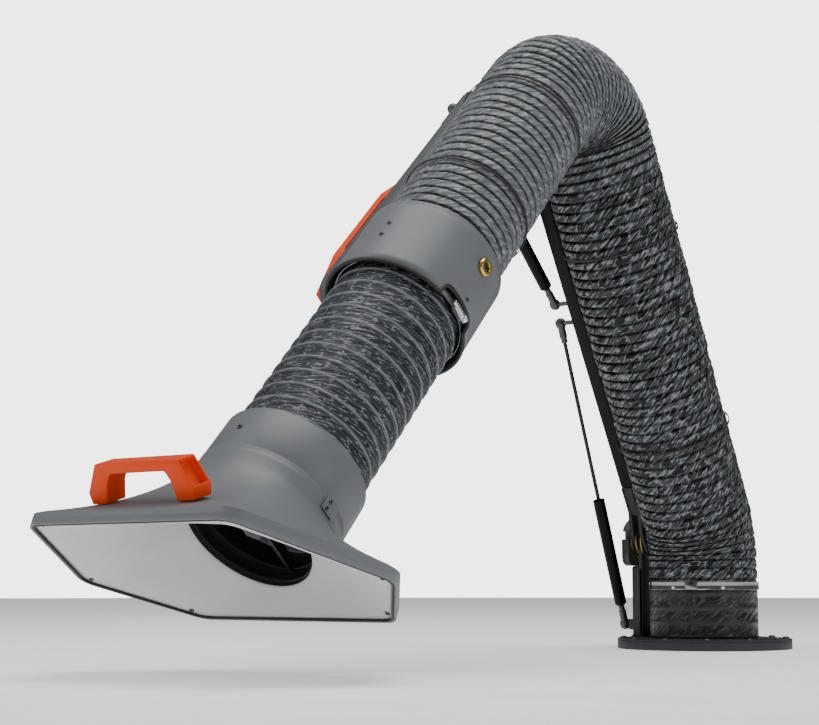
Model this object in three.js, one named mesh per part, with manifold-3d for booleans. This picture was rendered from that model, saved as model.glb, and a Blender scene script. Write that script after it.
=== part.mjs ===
// Fume extraction arm: a swivelling flange, a two-link support frame beside a ribbed hose,
// two gas springs, a jointed sleeve and a six-sided hood. Millimetres, Z up.
// The arm reaches along -Y, its hinges turn about X and the frame stands on the -X side.
import * as THREE from 'three';
import { mergeVertices } from 'three/addons/utils/BufferGeometryUtils.js';
import Module from 'manifold-3d';

const wasm = await Module();
wasm.setup();

// Clearances
const GAP = 0.3;
const RUN = 0.4;

// Facets round large and small turned pieces
const ROUND = 28;
const ROUND_SMALL = 12;
const ROUND_BALL = 10;
const CHORD = 1 / Math.cos(Math.PI / ROUND);

// Hose: fabric on a wire spiral, held on round pipes
const HOSE_RIB_R = 80;
const HOSE_VALLEY_R = 77.8;
const HOSE_BORE_R = 76.2;
const HOSE_SIDES = 14;
const PIPE_WALL = 2;
const PIPE_R = HOSE_BORE_R * Math.cos(Math.PI / HOSE_SIDES) - RUN;
const PITCH_SLACK = 15;
const PITCH_STRETCHED = 22;

// Swivel base
const FLANGE_R = 128;
const FLANGE_H = 12.5;
const FLANGE_FLOOR = 5;
const BOLT_COUNT = 12;
const BOLT_CIRCLE_R = 119;
const BOLT_HOLE_R = 3.3;
const RETAINER_H = 2.2;
const RETAINER_LIP = 3;
const TABLE_R = 112;
const TABLE_TOP = 16;
const BEARING_H = 2;
const SPIGOT_TOP = 101;
const STUB_TOP = 99;
const CLAMP_Z = 92;
const CLAMP_W = 12;
const CLAMP_T = 1.2;
const BUCKLE_HALF = 10;
const BUCKLE_T = 4;
const BUCKLE_TURN = -74;
const STRAP_W = 4;
const LUG_HALF = 8;
const BEARING_W = 19.6;

// Support frame
const HINGE_Z = 160;
const LOWER_LEN = 700;
const LOWER_LEAN = 29.5;
const TUBE_X = -94;
const TUBE_W = 22;
const TUBE_D = 24;
const TUBE_WALL = 2;
const TUBE_CORNER_R = 4;
const TUBE_BORE_R = 2.5;
const CHEEK_T = 6;
const WASHER_T = 1.4;
const WASHER_R = 28;
const EYE_R = 24;
const EYE_TAPER = 4;
const EYE_LEG = 8;
const ROUND_TRIM = 1;
const PIN_R = 6;
const FOOT_START = 50;
const FOOT_END = 96;
const FOOT_SHOULDER = 6;
const FOOT_SHOULDER_R = 4;
const CHEEK_R = 10;
const BAR_X = -102.5;
const BAR_W = 22;
const BAR_Y0 = 12;
const BAR_Y1 = 70;
const BAR_Z0 = 62;
const BAR_PAST_HEAD = 61.3;
const BAR_CORNER_R = 12;
const BAR_WALL = 3;
const GUSSET_T = 8;
const GUSSET_END = 150;
const GUSSET_INSET = 4;
const GUSSET_R = 10;
const GUSSET_BACK = 14;
const GUSSET_FRONT_R = 16;

// Base hinge drum and pillar
const PILLAR_W = 44;
const PILLAR_OUT = 18.4;
const PILLAR_R = 4;
const DRUM_R = 34;
const DRUM_T = 12.5;
const DRUM_FLOOR = 38;
const DRUM_CORNER_R = 14;
const STOP_DEPTH = 10;
const STOP_LOW = 2;
const STOP_HIGH = 14;

// Gas springs
const SPRING_X = -131.5;
const BALL_R = 6;
const NECK_R = 3.5;
const STUD_COLLAR = 2;
const STUD_COLLAR_T = 3;
const BRACKET_T = 11;
const BRACKET_HALF = 8;
const BRACKET_BACK = 14;
const SOCKET_R = 8.8;
const SOCKET_PLAY = 1;
const SOCKET_SWING = 2.2;
const SOCKET_ROOF = 1.2;
const STEM_R = 4.5;
const STEM_END = 30;
const CYL_R = 9.5;
const CYL_WALL = 0.8;
const CYL_FLOOR = 4;
const ROD_R = 3;
const LOW_BALL_REACH = 6;
const LOW_BALL_Z = 34;
const LOW_STUD_AT = 366;
const HIGH_STUD_AT = 396;
const BAR_STUD_Z = 91;
const BAR_STUD_Y = 58;
const LOW_CYL_LEN = 170;
const HIGH_CYL_LEN = 182;
const LOW_ROD_IN = 62;
const HIGH_ROD_IN = 100;

// Hose run in the arm plane
const HOSE_LEAN = 28.5;
const HOSE_SKEW = 1.4;
const BEND_Z = 164;
const BEND_R = 150;
const BASE_BEND_LEG = 62;
const ELBOW_R = 83;
const ELBOW_LEG = 60;
const LOW_STRAP_FIRST = 181;
const LOW_STRAP_SECOND = 479;
const HIGH_STRAP_FIRST = 178;
const HIGH_STRAP_SECOND = 368;

// Head joint and sleeve
const HEAD_REACH = 694.7;
const HEAD_Z = 463.5;
const HEAD_OFFSET = 31.29;
const SLEEVE_R = 90;
const SLEEVE_WALL = 2.5;
const SLEEVE_TOP = -30;
const SLEEVE_END = 81;
const PIPE_ABOVE = 30;
const PIPE_BELOW = 7;
const TRIM_H = 4;
const TRIM_LIP = 1.6;
const NOTCH_DEPTH = 18;
const NOTCH_HALF = 31;
const NOTCH_R = 12;
const BOLT_R = 5;
const BOLT_HEAD_R = 11;
const BOLT_HEAD_H = 5;
const YOKE_H = 18;
const YOKE_D = 24;
const YOKE_PLAY = 3;
const YOKE_BOSS = 6;
const YOKE_NECK = 8;
const BOLT_IN_YOKE = 16;
const STAY_R = 10;
const STAY_WALL = 2;
const NUT_T = 7;
const NUT_INSET = 2;
const WORM_BACK = 7;
const WORM_TAIL = 20;
const WORM_NOSE = 6;
const WORM_W = 9;

// Hood
const HEAD_HOSE_START = 42;
const HEAD_HOSE_LEN = 310;
const COLLAR_R = 87.5;
const COLLAR_WALL = 2.5;
const COLLAR_OVER = 16;
const COLLAR_LEN = 55;
const COLLAR_FLOOR = 4;
const NECK_PAST = 29;
const NECK_INSET = 11;
const HUB_AFTER = 13;
const HUB_LEN = 20;
const HUB_R = 16;
const SPOKE_W = 12;
const SPOKE_T = 4;
const SHELL_R = 88;
const SHELL_STRAIGHT = 20;
const SHELL_WALL = 3;
const OPEN_AHEAD = 89;
const OPEN_TILT = 22.4;
const OPEN_TOP = 148.6;
const OPEN_MID = -12.8;
const OPEN_BOTTOM = -127.8;
const OPEN_TOP_HALF = 139;
const OPEN_MID_HALF = 221;
const OPEN_BOTTOM_HALF = 136;
const OPEN_CORNER_R = 26;
const RIM_H = 14;
const FLARE = 1.5;
const SEAL_W = 2.6;
const SEAL_SINK = 0.5;
const SEAL_DEPTH = 5;
const LINER_T = 2;
const LINER_CURVE = 1.6;
const LINER_SINK = 3;
const HOOD_SIDES = 30;
const PLATE_T = 2;
const PLATE_HALF = 10.5;
const PLATE_LEN = 17;
const PLATE_AFTER = 2;

// Bow handles
const GRIP_W = 26;
const GRIP_T = 11;
const GRIP_SHARE = 0.77;
const GRIP_HALF = 70;
const GRIP_FOOT = 21;
const GRIP_RISE = 30;
const GRIP_LEG = 11;
const GRIP_KNEE = 20;
const GRIP_KNEE_IN = 5;
const GRIP_BULGE = 3;
const GRIP_HEEL = 12;
const GRIP_TOP_IN = 13;
const GRIP_IN_R = 6;
const GRIP_OUT_R = 4;
const GRIP_HEEL_R = 3;
const ARM_GRIP_LEN = 260;
const ARM_GRIP_BACK = 15;
const ARM_GRIP_RISE = 28;
const ARM_FOOT = 28;
const ARM_LEG = 20;
const ARM_SPAN = 110;
const ARM_FAR_FOOT = 38;
const ARM_TOE = 4;
const ARM_TOP_IN = 36;
const ARM_TOP_OUT = 88;
const ARM_HEEL = 14;
const ARM_HEEL_IN = 2;
const ARM_IN_R = 6;
const ARM_OUT_R = 8;

// Colours
const GREY = 0x7b8083;
const ANTHRACITE = 0x34393c;
const HOSE = 0x3a4046;
const BLACK = 0x101112;
const ORANGE = 0xf06a2c;
const CHROME = 0xd6d8da;
const ZINC = 0xc9a53c;
const BRASS = 0xb59a55;
const LIGHT = 0xb4b6b8;

const root = new THREE.Group();
root.name = 'fume_extraction_arm';

// Geometry helpers
const rad = THREE.MathUtils.degToRad;

function clean(geometry) {
  const bare = geometry.index ? geometry.toNonIndexed() : geometry;
  const position = bare.getAttribute('position');
  const plain = new THREE.BufferGeometry();
  plain.setAttribute('position', position.clone());
  const merged = mergeVertices(plain, 1e-4);
  const index = merged.index.array;
  const kept = [];
  for (let i = 0; i < index.length; i += 3) {
    const [a, b, c] = [index[i], index[i + 1], index[i + 2]];
    if (a !== b && b !== c && a !== c) kept.push(a, b, c);
  }
  merged.setIndex(kept);
  return signedVolume(merged) < 0 ? flip(merged) : merged;
}

function signedVolume(geometry) {
  const p = geometry.getAttribute('position');
  const index = geometry.index.array;
  const [a, b, c] = [new THREE.Vector3(), new THREE.Vector3(), new THREE.Vector3()];
  let sum = 0;
  for (let i = 0; i < index.length; i += 3) {
    a.fromBufferAttribute(p, index[i]);
    b.fromBufferAttribute(p, index[i + 1]);
    c.fromBufferAttribute(p, index[i + 2]);
    sum += a.dot(b.cross(c));
  }
  return sum / 6;
}

function flip(geometry) {
  const index = geometry.index.array;
  for (let i = 0; i < index.length; i += 3) {
    [index[i], index[i + 1]] = [index[i + 1], index[i]];
  }
  return geometry;
}

function solid(geometry) {
  const g = clean(geometry);
  return new wasm.Manifold(new wasm.Mesh({
    numProp: 3,
    vertProperties: new Float32Array(g.getAttribute('position').array),
    triVerts: new Uint32Array(g.index.array),
  }));
}

function unsolid(manifold) {
  const m = manifold.getMesh();
  const geometry = new THREE.BufferGeometry();
  geometry.setAttribute('position', new THREE.BufferAttribute(new Float32Array(m.vertProperties), 3));
  geometry.setIndex(Array.from(m.triVerts));
  return geometry;
}

function join(first, ...rest) {
  return unsolid(rest.reduce((sum, g) => sum.add(solid(g)), solid(first)));
}

function cut(first, ...rest) {
  return unsolid(rest.reduce((sum, g) => sum.subtract(solid(g)), solid(first)));
}

function add(name, geometry, colour, roughness, metalness, frame) {
  const g = clean(geometry);
  if (frame) g.applyMatrix4(frame);
  g.computeVertexNormals();
  const material = new THREE.MeshStandardMaterial({ color: colour, roughness, metalness });
  material.name = `${name}_finish`;
  const mesh = new THREE.Mesh(g, material);
  mesh.name = name;
  root.add(mesh);
}

// Turned shape about Z from a closed [radius, height] outline
function turned(outline, segments = ROUND) {
  const points = outline.map(([r, z]) => new THREE.Vector2(r, z));
  points.push(points[0].clone());
  return new THREE.LatheGeometry(points, segments).rotateX(Math.PI / 2);
}

function ring(outer, inner, z0, z1, segments = ROUND) {
  return turned([[inner, z0], [outer, z0], [outer, z1], [inner, z1]], segments);
}

function rod(radius, start, end, segments = ROUND_SMALL) {
  const a = new THREE.Vector3(...start);
  const b = new THREE.Vector3(...end);
  const g = new THREE.CylinderGeometry(radius, radius, a.distanceTo(b), segments);
  const turn = new THREE.Quaternion().setFromUnitVectors(
    new THREE.Vector3(0, 1, 0), b.clone().sub(a).normalize());
  return g.applyQuaternion(turn).translate(...a.add(b).multiplyScalar(0.5).toArray());
}

function block(x0, x1, y0, y1, z0, z1) {
  const g = new THREE.BoxGeometry(x1 - x0, y1 - y0, z1 - z0);
  return g.translate((x0 + x1) / 2, (y0 + y1) / 2, (z0 + z1) / 2);
}

// Outline with rounded corners from [u, v, radius] corners
function rounded(corners, steps = 6) {
  const out = [];
  corners.forEach(([u, v, r], i) => {
    const p = new THREE.Vector2(u, v);
    const before = corners[(i + corners.length - 1) % corners.length];
    const after = corners[(i + 1) % corners.length];
    const e0 = new THREE.Vector2(before[0] - u, before[1] - v).normalize();
    const e1 = new THREE.Vector2(after[0] - u, after[1] - v).normalize();
    if (!r) {
      out.push(p);
      return;
    }
    const half = Math.acos(THREE.MathUtils.clamp(e0.dot(e1), -1, 1)) / 2;
    const centre = e0.clone().add(e1).normalize().multiplyScalar(r / Math.sin(half)).add(p);
    const t0 = e0.clone().multiplyScalar(r / Math.tan(half)).add(p).sub(centre);
    const t1 = e1.clone().multiplyScalar(r / Math.tan(half)).add(p).sub(centre);
    const a0 = Math.atan2(t0.y, t0.x);
    let sweep = Math.atan2(t1.y, t1.x) - a0;
    sweep -= Math.round(sweep / (2 * Math.PI)) * 2 * Math.PI;
    for (let k = 0; k <= steps; k += 1) {
      const a = a0 + (sweep * k) / steps;
      out.push(new THREE.Vector2(centre.x + r * Math.cos(a), centre.y + r * Math.sin(a)));
    }
  });
  return out;
}

function extruded(outline, depth, holes = []) {
  const shape = new THREE.Shape(outline);
  holes.forEach((hole) => shape.holes.push(new THREE.Path(hole)));
  return new THREE.ExtrudeGeometry(shape, { depth, bevelEnabled: false, curveSegments: 8 });
}

// Plate whose outline lies in [Y, Z] and whose thickness runs from x0 to x1
function plateX(outline, x0, x1, holes = []) {
  const turn = new THREE.Matrix4().set(0, 0, 1, x0, 1, 0, 0, 0, 0, 1, 0, 0, 0, 0, 0, 1);
  return extruded(outline, x1 - x0, holes).applyMatrix4(turn);
}

function circle(u, v, r, steps = ROUND_SMALL) {
  const at = (k) => (2 * Math.PI * k) / steps;
  return Array.from({ length: steps }, (_, k) => (
    new THREE.Vector2(u + r * Math.cos(at(k)), v + r * Math.sin(at(k)))));
}

// Closed skin through a loop of rings that all have the same number of points
function skin(rings) {
  const n = rings[0].length;
  const geometry = new THREE.BufferGeometry();
  const flat = rings.flat().flatMap((p) => [p.x, p.y, p.z]);
  geometry.setAttribute('position', new THREE.BufferAttribute(new Float32Array(flat), 3));
  const index = [];
  for (let i = 0; i < rings.length; i += 1) {
    const j = (i + 1) % rings.length;
    for (let k = 0; k < n; k += 1) {
      const l = (k + 1) % n;
      index.push(i * n + k, j * n + k, j * n + l, i * n + k, j * n + l, i * n + l);
    }
  }
  geometry.setIndex(index);
  return geometry;
}

// Frames: Z runs along the link, X is the hinge axis
const reach = (r, z, x = 0) => new THREE.Vector3(x, -r, z);

function linkFrame(origin, tilt) {
  const frame = new THREE.Matrix4().makeRotationX(rad(tilt));
  return frame.setPosition(origin);
}

const lowerFrame = linkFrame(reach(0, HINGE_Z), LOWER_LEAN);
const elbow = new THREE.Vector3(0, 0, LOWER_LEN).applyMatrix4(lowerFrame);
const head = reach(HEAD_REACH, HEAD_Z);
const elbowToHead = head.clone().sub(elbow);
const headDroop = Math.atan2(-elbowToHead.z, -elbowToHead.y);
const offsetAngle = Math.asin(HEAD_OFFSET / elbowToHead.length());
const barDroop = THREE.MathUtils.radToDeg(headDroop + offsetAngle);
const hoseTilt = 90 + barDroop + HOSE_SKEW;
const barFrame = linkFrame(elbow, 90 + barDroop);
const headFrame = linkFrame(head, hoseTilt);
const headInBar = head.clone().applyMatrix4(barFrame.clone().invert());
const barEnd = headInBar.z + BAR_PAST_HEAD;

// Stations along the head's axis, from the pivot to the hood's mouth
const notchStart = SLEEVE_END - NOTCH_DEPTH;
const wormQ = SLEEVE_END - WORM_BACK;
const headHoseEnd = HEAD_HOSE_START + HEAD_HOSE_LEN;
const collarTop = headHoseEnd - COLLAR_OVER;
const collarEnd = collarTop + COLLAR_LEN;
const hubQ = collarEnd + HUB_AFTER;
const flareStart = collarEnd + SHELL_STRAIGHT;
const neckEnd = flareStart + NECK_PAST;
const openQ = flareStart + OPEN_AHEAD;

// Swivel base
const tableFloor = FLANGE_FLOOR + GAP + BEARING_H + GAP;
const flangeBore = PIPE_R - PIPE_WALL;
const recessR = (TABLE_R + RUN) * CHORD;
const retainerBore = TABLE_R - RETAINER_LIP;
const boltHoles = Array.from({ length: BOLT_COUNT }, (_, i) => (i * 2 * Math.PI) / BOLT_COUNT);
const drill = (z0, z1) => boltHoles.map((a) => (
  rod(BOLT_HOLE_R, [BOLT_CIRCLE_R * Math.cos(a), BOLT_CIRCLE_R * Math.sin(a), z0],
    [BOLT_CIRCLE_R * Math.cos(a), BOLT_CIRCLE_R * Math.sin(a), z1], 8)));

add('base_flange', cut(turned([
  [flangeBore, 0], [FLANGE_R, 0], [FLANGE_R, FLANGE_H], [recessR, FLANGE_H],
  [recessR, FLANGE_FLOOR], [flangeBore, FLANGE_FLOOR],
]), ...drill(-1, FLANGE_H + 1)), ANTHRACITE, 0.55, 0.4);
const retainerFloor = FLANGE_H + GAP;
const retainerTop = retainerFloor + RETAINER_H;
add('retaining_ring', cut(ring(FLANGE_R, retainerBore, retainerFloor, retainerTop),
  ...drill(retainerFloor - 1, retainerTop + 1)), ANTHRACITE, 0.55, 0.4);
add('slide_bearing', ring(TABLE_R - RUN, TABLE_R - RUN - BEARING_W, FLANGE_FLOOR + GAP,
  FLANGE_FLOOR + GAP + BEARING_H), LIGHT, 0.5, 0);

// Turntable with the pipe that the hose is clamped on
const tableStep = retainerBore / CHORD - RUN;
add('turntable', turned([
  [flangeBore, tableFloor], [TABLE_R, tableFloor], [TABLE_R, FLANGE_H - GAP],
  [tableStep, FLANGE_H - GAP], [tableStep, TABLE_TOP], [PIPE_R, TABLE_TOP],
  [PIPE_R, SPIGOT_TOP], [flangeBore, SPIGOT_TOP],
]), ANTHRACITE, 0.55, 0.4);

// Pillar, drum and base hinge, stacked along X from the drum inwards to the hose
const tubeOuter = TUBE_X - TUBE_W / 2;
const tubeInner = TUBE_X + TUBE_W / 2;
const outerCheek = [tubeOuter, tubeOuter + CHEEK_T];
const innerCheek = [tubeInner - CHEEK_T, tubeInner];
const pillarPlate = [outerCheek[1] + WASHER_T + 2 * GAP, innerCheek[0] - WASHER_T - 2 * GAP];
const drumInner = outerCheek[0] - WASHER_T - 2 * GAP;
const drumOuter = drumInner - DRUM_T;
const drumFloor = HINGE_Z - DRUM_FLOOR;
const pillarHalf = PILLAR_W / 2;
const pinHole = (y, z) => circle(y, z, PIN_R + RUN);
const pillarOutline = rounded([
  [-pillarHalf, TABLE_TOP + GAP, 0], [pillarHalf, TABLE_TOP + GAP, 0],
  [pillarHalf, HINGE_Z + pillarHalf, pillarHalf - ROUND_TRIM],
  [-pillarHalf, HINGE_Z + pillarHalf, pillarHalf - ROUND_TRIM],
]);
const pillarFoot = rounded([
  [-pillarHalf, TABLE_TOP + GAP, 0], [pillarHalf, TABLE_TOP + GAP, 0],
  [pillarHalf, drumFloor - GAP, PILLAR_R], [-pillarHalf, drumFloor - GAP, PILLAR_R],
]);
add('pillar', join(
  plateX(pillarOutline, ...pillarPlate, [pinHole(0, HINGE_Z)]),
  plateX(pillarFoot, pillarPlate[1] - PILLAR_OUT, pillarPlate[1]),
), ANTHRACITE, 0.5, 0.4);
const drumNotch = block(drumOuter - 1, drumInner + 1, -DRUM_R - 1, -DRUM_R + STOP_DEPTH,
  HINGE_Z + STOP_LOW, HINGE_Z + STOP_HIGH);
const drumOutline = rounded([
  [-DRUM_R, drumFloor, DRUM_CORNER_R], [DRUM_R, drumFloor, DRUM_CORNER_R],
  [DRUM_R, HINGE_Z + DRUM_R, DRUM_R - ROUND_TRIM], [-DRUM_R, HINGE_Z + DRUM_R, DRUM_R - ROUND_TRIM],
], 9);
const headSeat = rod(EYE_R / 2, [drumOuter - 1, 0, HINGE_Z], [drumOuter + BOLT_HEAD_H + GAP, 0, HINGE_Z]);
add('hinge_drum', cut(plateX(drumOutline, drumOuter, drumInner, [pinHole(0, HINGE_Z)]),
  drumNotch, headSeat), ANTHRACITE, 0.45, 0.3);
const washer = (radius, x0, y, z) => (
  plateX(circle(y, z, radius, ROUND), x0, x0 + WASHER_T, [pinHole(y, z)]));
add('friction_washer_outer', washer(WASHER_R, drumInner + GAP, 0, HINGE_Z), BRASS, 0.35, 0.9);
add('friction_washer_middle', washer(WASHER_R, outerCheek[1] + GAP, 0, HINGE_Z), BRASS, 0.35, 0.9);
add('friction_washer_inner', washer(WASHER_R, pillarPlate[1] + GAP, 0, HINGE_Z), BRASS, 0.35, 0.9);
add('base_pivot_pin', join(
  rod(PIN_R, [drumOuter + 1, 0, HINGE_Z], [innerCheek[1] - 1, 0, HINGE_Z]),
  rod(EYE_R / 2 - RUN, [drumOuter + 1, 0, HINGE_Z], [drumOuter + BOLT_HEAD_H, 0, HINGE_Z]),
), CHROME, 0.3, 0.9);

// Ball stud: a post along X that ends in a ball in the plane of the gas springs
function stud(fromX, y, z) {
  const ball = new THREE.SphereGeometry(BALL_R, ROUND_BALL, 6).translate(SPRING_X, y, z);
  return join(ball, rod(NECK_R, [SPRING_X, y, z], [fromX, y, z], 10),
    rod(NECK_R + STUD_COLLAR, [fromX - STUD_COLLAR_T, y, z], [fromX, y, z], 10));
}

const pillarFace = pillarPlate[1] - PILLAR_OUT;
const bracketFace = pillarFace - BRACKET_T;
add('base_spring_bracket', join(
  block(bracketFace, pillarFace - GAP, -LOW_BALL_REACH - BRACKET_HALF, -LOW_BALL_REACH + BRACKET_BACK,
    LOW_BALL_Z - BRACKET_HALF, LOW_BALL_Z + BRACKET_HALF),
  stud(bracketFace + 1, -LOW_BALL_REACH, LOW_BALL_Z),
), ANTHRACITE, 0.45, 0.5);

// Lower link: forked foot, rectangular tube and eye
const tubeHalf = TUBE_D / 2;
const cheekOutline = rounded([
  [-EYE_R, -EYE_R, EYE_R - ROUND_TRIM], [EYE_R, -EYE_R, EYE_R - ROUND_TRIM], [EYE_R, EYE_R, CHEEK_R],
  [tubeHalf, FOOT_START + FOOT_SHOULDER, FOOT_SHOULDER_R], [tubeHalf, FOOT_END, 0],
  [-tubeHalf, FOOT_END, 0], [-tubeHalf, FOOT_START + FOOT_SHOULDER, FOOT_SHOULDER_R],
  [-EYE_R, EYE_R, CHEEK_R],
]);
add('lower_foot', join(
  plateX(cheekOutline, ...outerCheek, [pinHole(0, 0)]),
  plateX(cheekOutline, ...innerCheek, [pinHole(0, 0)]),
  block(tubeOuter, tubeInner, -tubeHalf, tubeHalf, FOOT_START, FOOT_END),
), ANTHRACITE, 0.5, 0.4, lowerFrame);
const eyeStart = LOWER_LEN - EYE_R - EYE_LEG;
const eyeHalf = EYE_R - EYE_TAPER;
const tubeSection = (half, w, r) => rounded([
  [TUBE_X - w, -half, r], [TUBE_X + w, -half, r], [TUBE_X + w, half, r], [TUBE_X - w, half, r],
], 3);
const tubeOutline = tubeSection(tubeHalf, TUBE_W / 2, TUBE_CORNER_R);
const tubeBore = tubeSection(tubeHalf - TUBE_WALL, TUBE_W / 2 - TUBE_WALL, TUBE_BORE_R);
add('lower_tube', extruded(tubeOutline, eyeStart - FOOT_END - 2 * GAP, [tubeBore])
  .translate(0, 0, FOOT_END + GAP), ANTHRACITE, 0.45, 0.35, lowerFrame);
const eyeOutline = rounded([
  [-tubeHalf, eyeStart, 0], [tubeHalf, eyeStart, 0], [eyeHalf, LOWER_LEN + eyeHalf, eyeHalf - EYE_TAPER],
  [-eyeHalf, LOWER_LEN + eyeHalf, eyeHalf - EYE_TAPER],
]);
add('lower_eye', plateX(eyeOutline, tubeOuter, tubeInner, [pinHole(0, LOWER_LEN)]),
  ANTHRACITE, 0.5, 0.4, lowerFrame);
add('lower_spring_stud', stud(tubeOuter - GAP, 0, LOW_STUD_AT), CHROME, 0.3, 0.9, lowerFrame);
add('upper_spring_stud', stud(tubeOuter - GAP, 0, HIGH_STUD_AT), CHROME, 0.3, 0.9, lowerFrame);

// Upper link: round-ended channel, hinge gusset and elbow hinge
const barOuter = BAR_X - BAR_W / 2;
const barInner = BAR_X + BAR_W / 2;
const barR = (BAR_Y1 - BAR_Y0) / 2 - ROUND_TRIM;
const barOutline = (inset) => rounded([
  [BAR_Y0 + inset, BAR_Z0 + inset, BAR_CORNER_R - inset],
  [BAR_Y1 - inset, BAR_Z0 + inset, BAR_CORNER_R - inset],
  [BAR_Y1 - inset, barEnd - inset, barR - inset], [BAR_Y0 + inset, barEnd - inset, barR - inset],
], 8);
const headHole = circle(headInBar.y, headInBar.z, BOLT_R + RUN);
add('upper_channel', cut(
  plateX(barOutline(0), barOuter, barInner, [headHole]),
  plateX(barOutline(BAR_WALL), barOuter + BAR_WALL, barInner + 1),
), GREY, 0.45, 0.3, barFrame);
const gussetInner = barOuter - GAP;
const gussetOuter = gussetInner - GUSSET_T;
const gussetEye = EYE_R - EYE_TAPER / 2;
add('elbow_gusset', plateX(rounded([
  [-gussetEye, -gussetEye, eyeHalf], [-gussetEye, GUSSET_BACK, GUSSET_BACK],
  [BAR_Y0 + GUSSET_INSET, GUSSET_END, GUSSET_R], [BAR_Y1 - GUSSET_INSET, GUSSET_END, GUSSET_R],
  [BAR_Y1 - GUSSET_INSET, BAR_Z0 + GUSSET_INSET, GUSSET_FRONT_R],
  [gussetEye, -gussetEye, eyeHalf - GUSSET_INSET],
]), gussetOuter, gussetInner, [pinHole(0, 0)]), GREY, 0.45, 0.3, barFrame);
const spacerOuter = gussetInner + WASHER_T + 2 * GAP;
const spacerInner = tubeOuter - WASHER_T - 2 * GAP;
add('elbow_washer_outer', washer(EYE_R - ROUND_TRIM, gussetInner + GAP, 0, 0), BRASS, 0.35, 0.9, barFrame);
add('elbow_spacer', plateX(circle(0, 0, eyeHalf), spacerOuter, spacerInner, [pinHole(0, 0)]),
  ANTHRACITE, 0.5, 0.4, barFrame);
add('elbow_washer_inner', washer(EYE_R - ROUND_TRIM, spacerInner + GAP, 0, 0), BRASS, 0.35, 0.9, barFrame);
add('elbow_pivot_pin', join(
  rod(PIN_R, [gussetOuter - 1, 0, 0], [tubeInner - 1, 0, 0]),
  rod(EYE_R / 2, [gussetOuter - GAP - BOLT_HEAD_H, 0, 0], [gussetOuter - GAP, 0, 0], 6),
), CHROME, 0.3, 0.9, barFrame);
add('channel_spring_stud', stud(gussetOuter - GAP, BAR_STUD_Y, BAR_STUD_Z), CHROME, 0.3, 0.9, barFrame);

// Bow handle on the outer face of the channel
const armStart = barEnd - ARM_GRIP_BACK - ARM_GRIP_LEN;
const armEnd = armStart + ARM_GRIP_LEN;
const armSeat = barOuter - GAP;
const armUnder = barOuter - ARM_GRIP_RISE;
const armTop = armUnder - GRIP_T;
const armLegEnd = armStart + ARM_FOOT + ARM_LEG;
const armGrip = rounded([
  [armStart, armSeat, 0], [armStart + ARM_FOOT, armSeat, 0], [armLegEnd, armUnder, ARM_IN_R],
  [armLegEnd + ARM_SPAN, armUnder, ARM_IN_R], [armEnd - ARM_TOE - ARM_FAR_FOOT, armSeat, 0],
  [armEnd - ARM_TOE, armSeat, 0], [armEnd, barOuter - ARM_HEEL, ARM_TOE],
  [armEnd - ARM_TOP_OUT, armTop, ARM_OUT_R], [armStart + ARM_TOP_IN, armTop, ARM_OUT_R],
  [armStart + ARM_HEEL_IN, barOuter - ARM_HEEL, ARM_TOE],
]);
const gripTurn = new THREE.Matrix4().set(0, 1, 0, 0, 0, 0, 1, 0, 1, 0, 0, 0, 0, 0, 0, 1);
const armGripY = (BAR_Y0 + BAR_Y1) / 2;
add('arm_handle', extruded(armGrip, GRIP_W).applyMatrix4(gripTurn)
  .translate(0, armGripY - GRIP_W / 2, 0), ORANGE, 0.5, 0, barFrame);

// Gas springs: a ball socket on a cylinder, and a rod with its own socket
function socket(alongTo) {
  const cup = new THREE.SphereGeometry(SOCKET_R, ROUND_BALL, 6);
  const seat = new THREE.SphereGeometry(BALL_R + SOCKET_PLAY, ROUND_BALL, 6);
  const mouth = rod(NECK_R + SOCKET_SWING, [0, 0, 0], [SOCKET_R + 1, 0, 0]);
  return join(cut(cup, seat, mouth), rod(STEM_R, [0, 0, BALL_R + SOCKET_ROOF], [0, 0, alongTo], 12));
}

function springFrame(from, to) {
  const along = to.clone().sub(from).normalize();
  const side = new THREE.Vector3(1, 0, 0);
  const frame = new THREE.Matrix4().makeBasis(side, along.clone().cross(side), along);
  return frame.setPosition(from);
}

const baseBall = reach(LOW_BALL_REACH, LOW_BALL_Z, SPRING_X);
const lowBall = new THREE.Vector3(SPRING_X, 0, LOW_STUD_AT).applyMatrix4(lowerFrame);
const highBall = new THREE.Vector3(SPRING_X, 0, HIGH_STUD_AT).applyMatrix4(lowerFrame);
const barBall = new THREE.Vector3(SPRING_X, BAR_STUD_Y, BAR_STUD_Z).applyMatrix4(barFrame);

function spring(name, from, to, cylinderLength, rodIn) {
  const up = springFrame(from, to);
  const down = springFrame(to, from);
  add(`${name}_socket`, socket(STEM_END), ANTHRACITE, 0.4, 0.7, up);
  const start = STEM_END + GAP;
  const end = start + cylinderLength;
  const rodLength = from.distanceTo(to) - end + rodIn;
  add(`${name}_cylinder`, turned([
    [0, start], [CYL_R, start], [CYL_R, end], [CYL_R - CYL_WALL, end],
    [CYL_R - CYL_WALL, start + CYL_FLOOR], [0, start + CYL_FLOOR],
  ], ROUND_SMALL), BLACK, 0.35, 0.3, up);
  add(`${name}_rod`, rod(ROD_R, [0, 0, start], [0, 0, rodLength], 12), BLACK, 0.2, 0.8, down);
  add(`${name}_rod_socket`, socket(STEM_END), ANTHRACITE, 0.4, 0.7, down);
}

spring('lower_spring', baseBall, lowBall, LOW_CYL_LEN, LOW_ROD_IN);
spring('upper_spring', highBall, barBall, HIGH_CYL_LEN, HIGH_ROD_IN);

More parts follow.
